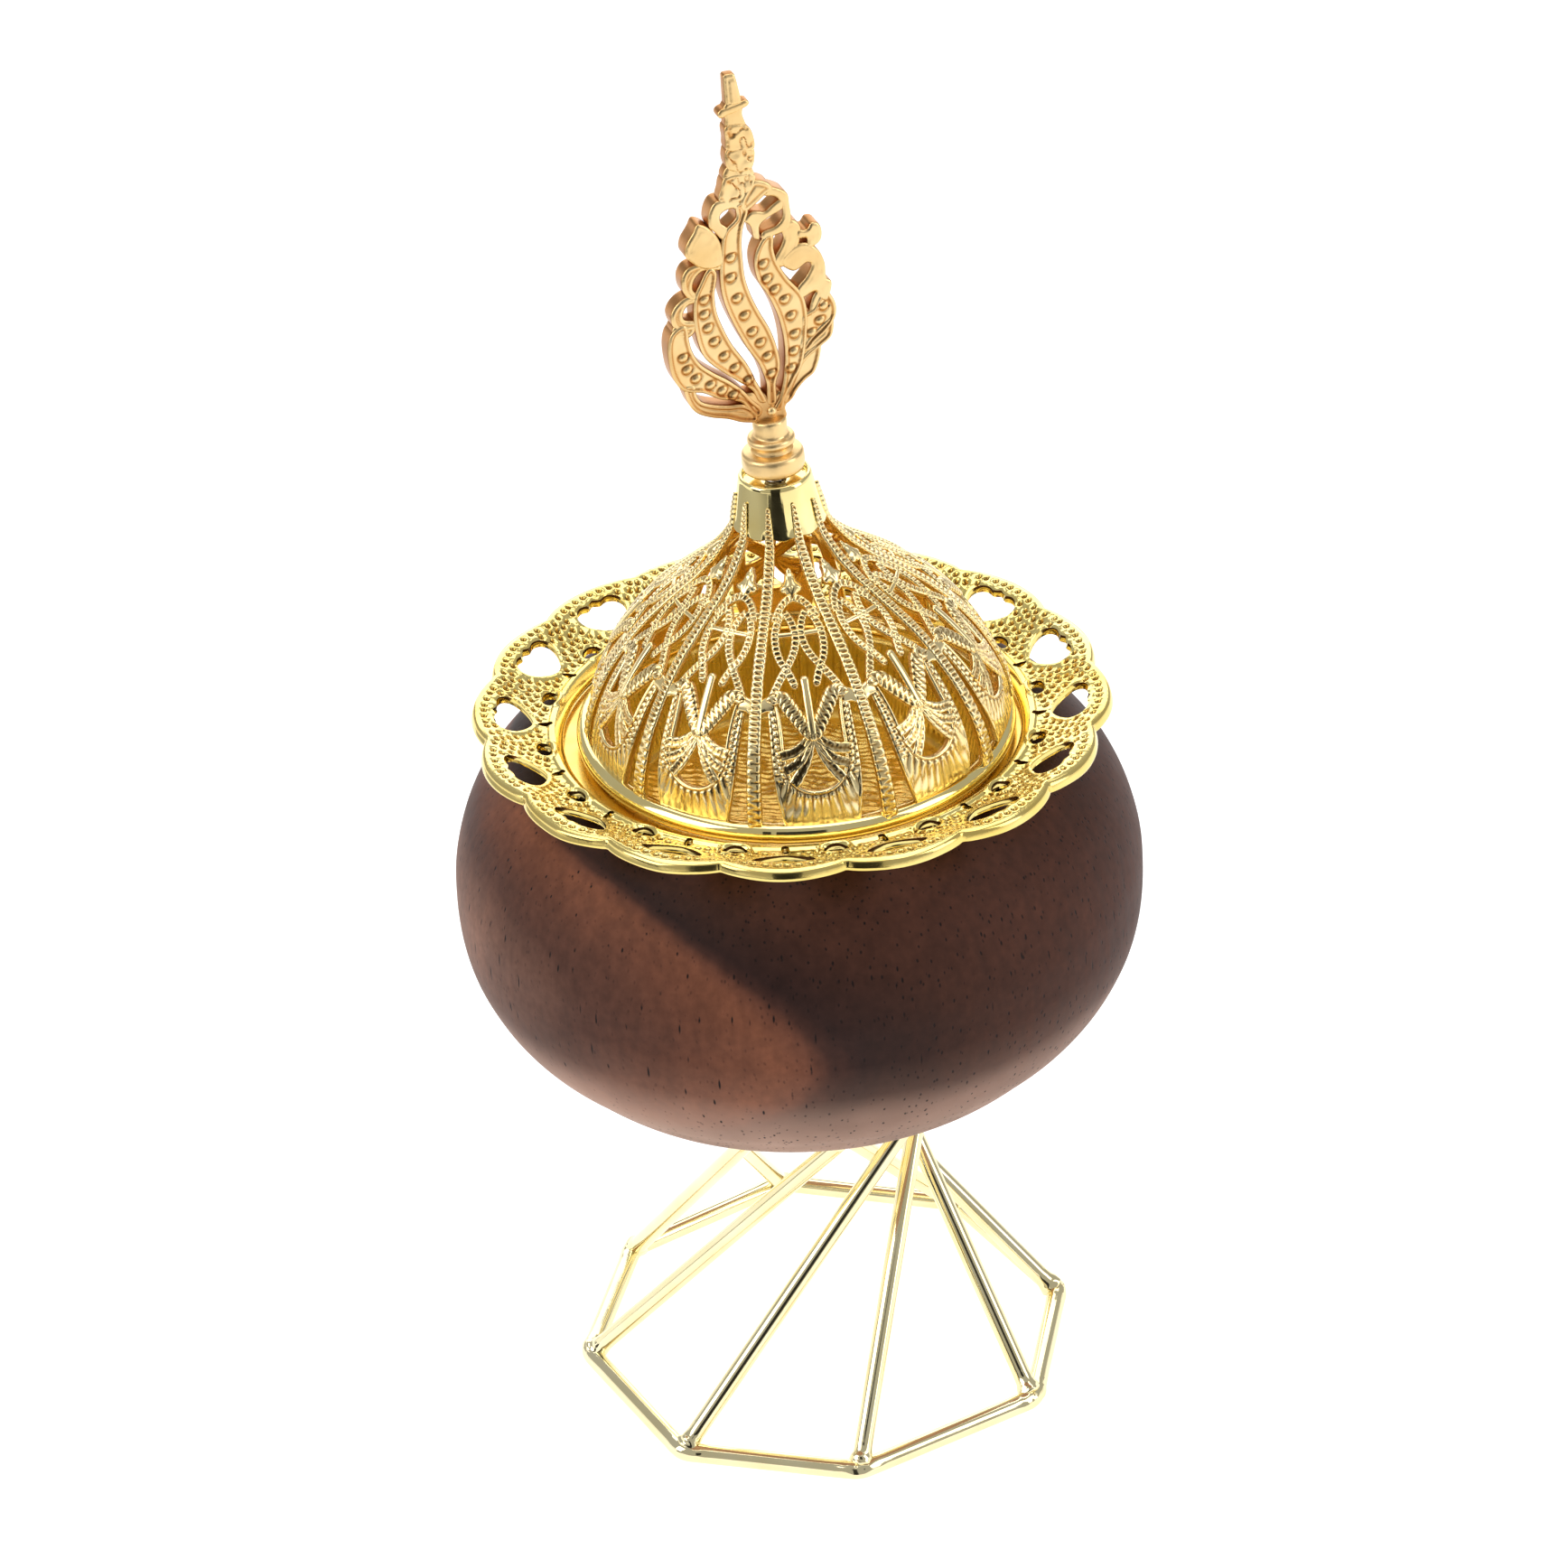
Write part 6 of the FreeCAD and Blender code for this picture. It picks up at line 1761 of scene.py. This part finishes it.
lathe(soup, prof, 180, move_fn=stamped)
build("stand_plate_disc", oriented(soup), MAT_WIRE, "stand_and_ball", ["stand_plate"], sharp=40)

soup = Soup()
prof = [(0.0, 44.8)] + [(r, 44.8 + 0.010 * r * r) for r in np.linspace(0.08, 3.3, 34)]
prof += [(3.65, 44.98), (3.95, 45.2), (4.18, 45.5), (4.32, 45.85), (4.38, 46.3), (4.4, 46.9), (4.38, 47.3), (4.28, 47.52), (4.1, 47.6), (2.7, 47.6),
         (2.45, 47.72)]
prof += [(2.45, z) for z in np.arange(48.0, 60.6, 0.13)] + [(2.2, 60.8), (1.6, 61.3), (0.9, 61.75), (0.0, 62.0)]


def screw_detail(v, r, th, z):
    v = v.copy()
    # crossed recess of the head
    x, y = np.abs(v[:, 0]), np.abs(v[:, 1])
    head = (z < 45.0) & (r < 3.4)
    arm = np.minimum(np.maximum(x - 2.15, y - 0.42), np.maximum(y - 2.15, x - 0.42))
    k = np.clip(-arm / 0.16 + 0.5, 0, 1)
    v[:, 2] += np.where(head, 1.15 * k, 0)
    # coarse wood thread
    thr = (z > 49.0) & (z < 60.7)
    ph = (z / 1.7 - th / (2 * np.pi)) % 1.0
    cut = np.clip((np.abs(ph - 0.5) - 0.14) / 0.2, 0, 1) * 0.55
    f = np.where(thr, 1 - cut / 2.45, 1.0)
    v[:, 0] *= f
    v[:, 1] *= f
    return v


lathe(soup, prof, 128, move_fn=screw_detail)
build("plate_screw_cross_head", oriented(soup), MAT_STEEL, "stand_and_ball", ["plate_screw"], sharp=45)

# ------------------------------------------------------------------ stud and nut of the finial
soup = Soup()
prof = [(0.0, 34.6), (0.7, 34.6), (1.15, 34.62), (1.3, 34.8)] + [(1.48, z) for z in np.arange(35.0, 43.2, 0.09)] + [(1.3, 43.3), (0.7, 43.38), (0.0, 43.4)]


def stud_detail(v, r, th, z):
    v = v.copy()
    ph = (z / 0.7 - th / (2 * np.pi)) % 1.0
    cut = np.abs(ph - 0.5) * 2 * 0.26
    f = np.where(r > 1.4, 1 - cut / 1.48, 1.0)
    v[:, 0] *= f
    v[:, 1] *= f
    return v


lathe(soup, prof, 64, move=lean, move_fn=stud_detail)
build("finial_stud_thread", oriented(soup), MAT_STEEL, "finial", ["finial_stud"], sharp=60)

soup = Soup()
prof = [(1.52, 36.9), (1.75, 36.62), (2.1, 36.6), (2.5, 36.6), (2.72, 36.61), (2.95, 36.72), (3.2, 36.95), (3.21, 37.4), (3.21, 37.8), (3.21, 38.2),
        (3.2, 38.65), (2.95, 38.88), (2.72, 38.99), (2.5, 39.0), (2.1, 39.0), (1.75, 38.98), (1.52, 38.7), (1.52, 38.2), (1.52, 37.8), (1.52, 37.4)]


def nut_detail(v, r, th, z):
    v = v.copy()
    a = (th - math.radians(10.0)) % (math.pi / 3) - math.pi / 6
    flat = 2.75 / np.cos(a)
    f = np.where(r > 2.6, np.minimum(r, flat) / np.maximum(r, 1e-6), 1.0)
    v[:, 0] *= f
    v[:, 1] *= f
    return v


lathe(soup, prof, 144, move=lean, move_fn=nut_detail)
build("finial_nut_hex", oriented(soup), MAT_STEEL, "finial", ["finial_nut"], sharp=35)

# ------------------------------------------------------------------ camera
def aim_camera():
    f, az, el, roll, X, Y, Z = 6432.72, 0.13, 31.72, -2.96, 0.01, -714.21, 540.04
    a, e, r = map(math.radians, (az, el, roll))
    back = np.array([math.sin(a) * math.cos(e), -math.cos(a) * math.cos(e), math.sin(e)])
    right = np.array([math.cos(a), math.sin(a), 0.0])
    up = np.cross(back, right)
    rx = right * math.cos(r) + up * math.sin(r)
    ry = -right * math.sin(r) + up * math.cos(r)
    cam = bpy.data.cameras.new("camera")
    cam.sensor_fit = "HORIZONTAL"
    cam.sensor_width = 36.0
    cam.lens = f / 1736.0 * 36.0
    cam.clip_start = 0.02
    cam.clip_end = 20.0
    ob = bpy.data.objects.new("camera", cam)
    SCENE.collection.objects.link(ob)
    m = Matrix(((rx[0], ry[0], back[0], X * MM), (rx[1], ry[1], back[1], Y * MM), (rx[2], ry[2], back[2], Z * MM), (0, 0, 0, 1)))
    ob.matrix_world = m
    SCENE.camera = ob


aim_camera()
SCENE.view_settings.view_transform = "Standard"


# ------------------------------------------------------------------ floor, cards and light
def stage_floor():
    n = 40
    R = 3.0
    ys = np.linspace(-R, R, n)
    v = []
    for y in ys:
        for x in ys:
            v.append((x, y, -0.0004))
    f = grid_faces(n, n, wrap_cols=False)
    m, nt, b = nodes_of("floor_white")
    tc = add(nt, "ShaderNodeTexCoord")
    nz = add(nt, "ShaderNodeTexNoise")
    nz.inputs["Scale"].default_value = 30
    cr = ramp(nt, [(0.3, (0.40, 0.40, 0.40)), (0.7, (0.42, 0.42, 0.42))])
    nt.links.new(tc.outputs["Object"], nz.inputs["Vector"])
    nt.links.new(nz.outputs["Fac"], cr.inputs["Fac"])
    nt.links.new(cr.outputs["Color"], b.inputs["Base Color"])
    b.inputs["Roughness"].default_value = 0.8
    b.inputs["Emission Color"].default_value = (1, 1, 1, 1)
    b.inputs["Emission Strength"].default_value = 0.86
    ob = build("floor", (np.array(v), np.zeros((0, 3), np.int64), f), m, None, scale=1.0)


stage_floor()


def card(name, corners, value, glow=0.0):
    m, nt, b = nodes_of(name)
    b.inputs["Base Color"].default_value = (value, value, value, 1)
    b.inputs["Roughness"].default_value = 0.9
    if glow:
        b.inputs["Emission Color"].default_value = (1, 1, 1, 1)
        b.inputs["Emission Strength"].default_value = glow
    v = np.array(corners, float)
    ob = build(name, (v, np.zeros((0, 3), np.int64), np.array([[0, 1, 2, 3]])), m, None, scale=1.0)


# dark flags either side of the camera give the metal its dark lines
card("flag_front", [(-0.42, -1.5, 0.0), (0.30, -1.5, 0.0), (0.30, -1.2, 1.25), (-0.42, -1.2, 1.25)], 0.02)
card("flag_floor", [(-0.30, -0.52, 0.001), (-0.62, -1.49, 0.001), (0.42, -1.49, 0.001), (0.19, -0.52, 0.001)], 0.015)
card("flag_grey", [(-0.26, -0.35, 0.001), (-0.26, 0.28, 0.001), (-1.1, 0.45, 0.001), (-1.1, -0.60, 0.001)], 0.40)
card("flag_grey_front", [(-0.26, -0.35, 0.0012), (-1.1, -0.60, 0.0012), (-0.66, -1.49, 0.0012), (-0.312, -0.54, 0.0012)], 0.40)
card("wall_left", [(-1.75, -0.45, 0.0), (-1.75, 1.4, 0.0), (-1.75, 1.4, 0.45), (-1.75, -0.45, 0.45)], 0.3, 0.8)
card("wall_right", [(1.6, -0.95, 0.0), (1.6, 1.4, 0.0), (1.6, 1.4, 0.35), (1.6, -0.95, 0.35)], 0.3, 0.7)
card("wall_back", [(-1.75, 1.65, 0.0), (1.6, 1.65, 0.0), (1.6, 1.65, 0.40), (-1.75, 1.65, 0.40)], 0.3, 0.8)
card("flag_left", [(-1.6, -0.55, 0.0), (-1.25, -1.2, 0.0), (-1.25, -1.2, 1.0), (-1.6, -0.55, 1.0)], 0.05)


def area(name, loc, size, radiance, look=(0, 0, 0.11), color=(1, 1, 1), size_y=None):
    from mathutils import Vector
    li = bpy.data.lights.new(name, "AREA")
    li.shape = "RECTANGLE"
    li.size = size
    li.size_y = size_y or size
    li.energy = radiance * math.pi * size * (size_y or size)
    li.color = color
    ob = bpy.data.objects.new(name, li)
    SCENE.collection.objects.link(ob)
    ob.location = loc
    d = Vector(look) - Vector(loc)
    ob.rotation_euler = d.to_track_quat("-Z", "Y").to_euler()
    return ob


area("key_left", (-0.95, -0.45, 0.75), 0.8, 2.6, size_y=0.9)
area("fill_right", (0.95, -0.35, 0.65), 0.5, 2.2, size_y=0.9)
area("top", (0.0, 0.25, 1.25), 1.0, 1.7)
area("back", (0.0, 1.2, 0.55), 1.2, 1.5, size_y=0.8)

world = bpy.data.worlds.new("studio")
world.use_nodes = True
SCENE.world = world
wn = world.node_tree
bg = wn.nodes["Background"]
bg.inputs["Color"].default_value = (1, 1, 1, 1)
bg.inputs["Strength"].default_value = 0.42

bpy.context.view_layer.update()
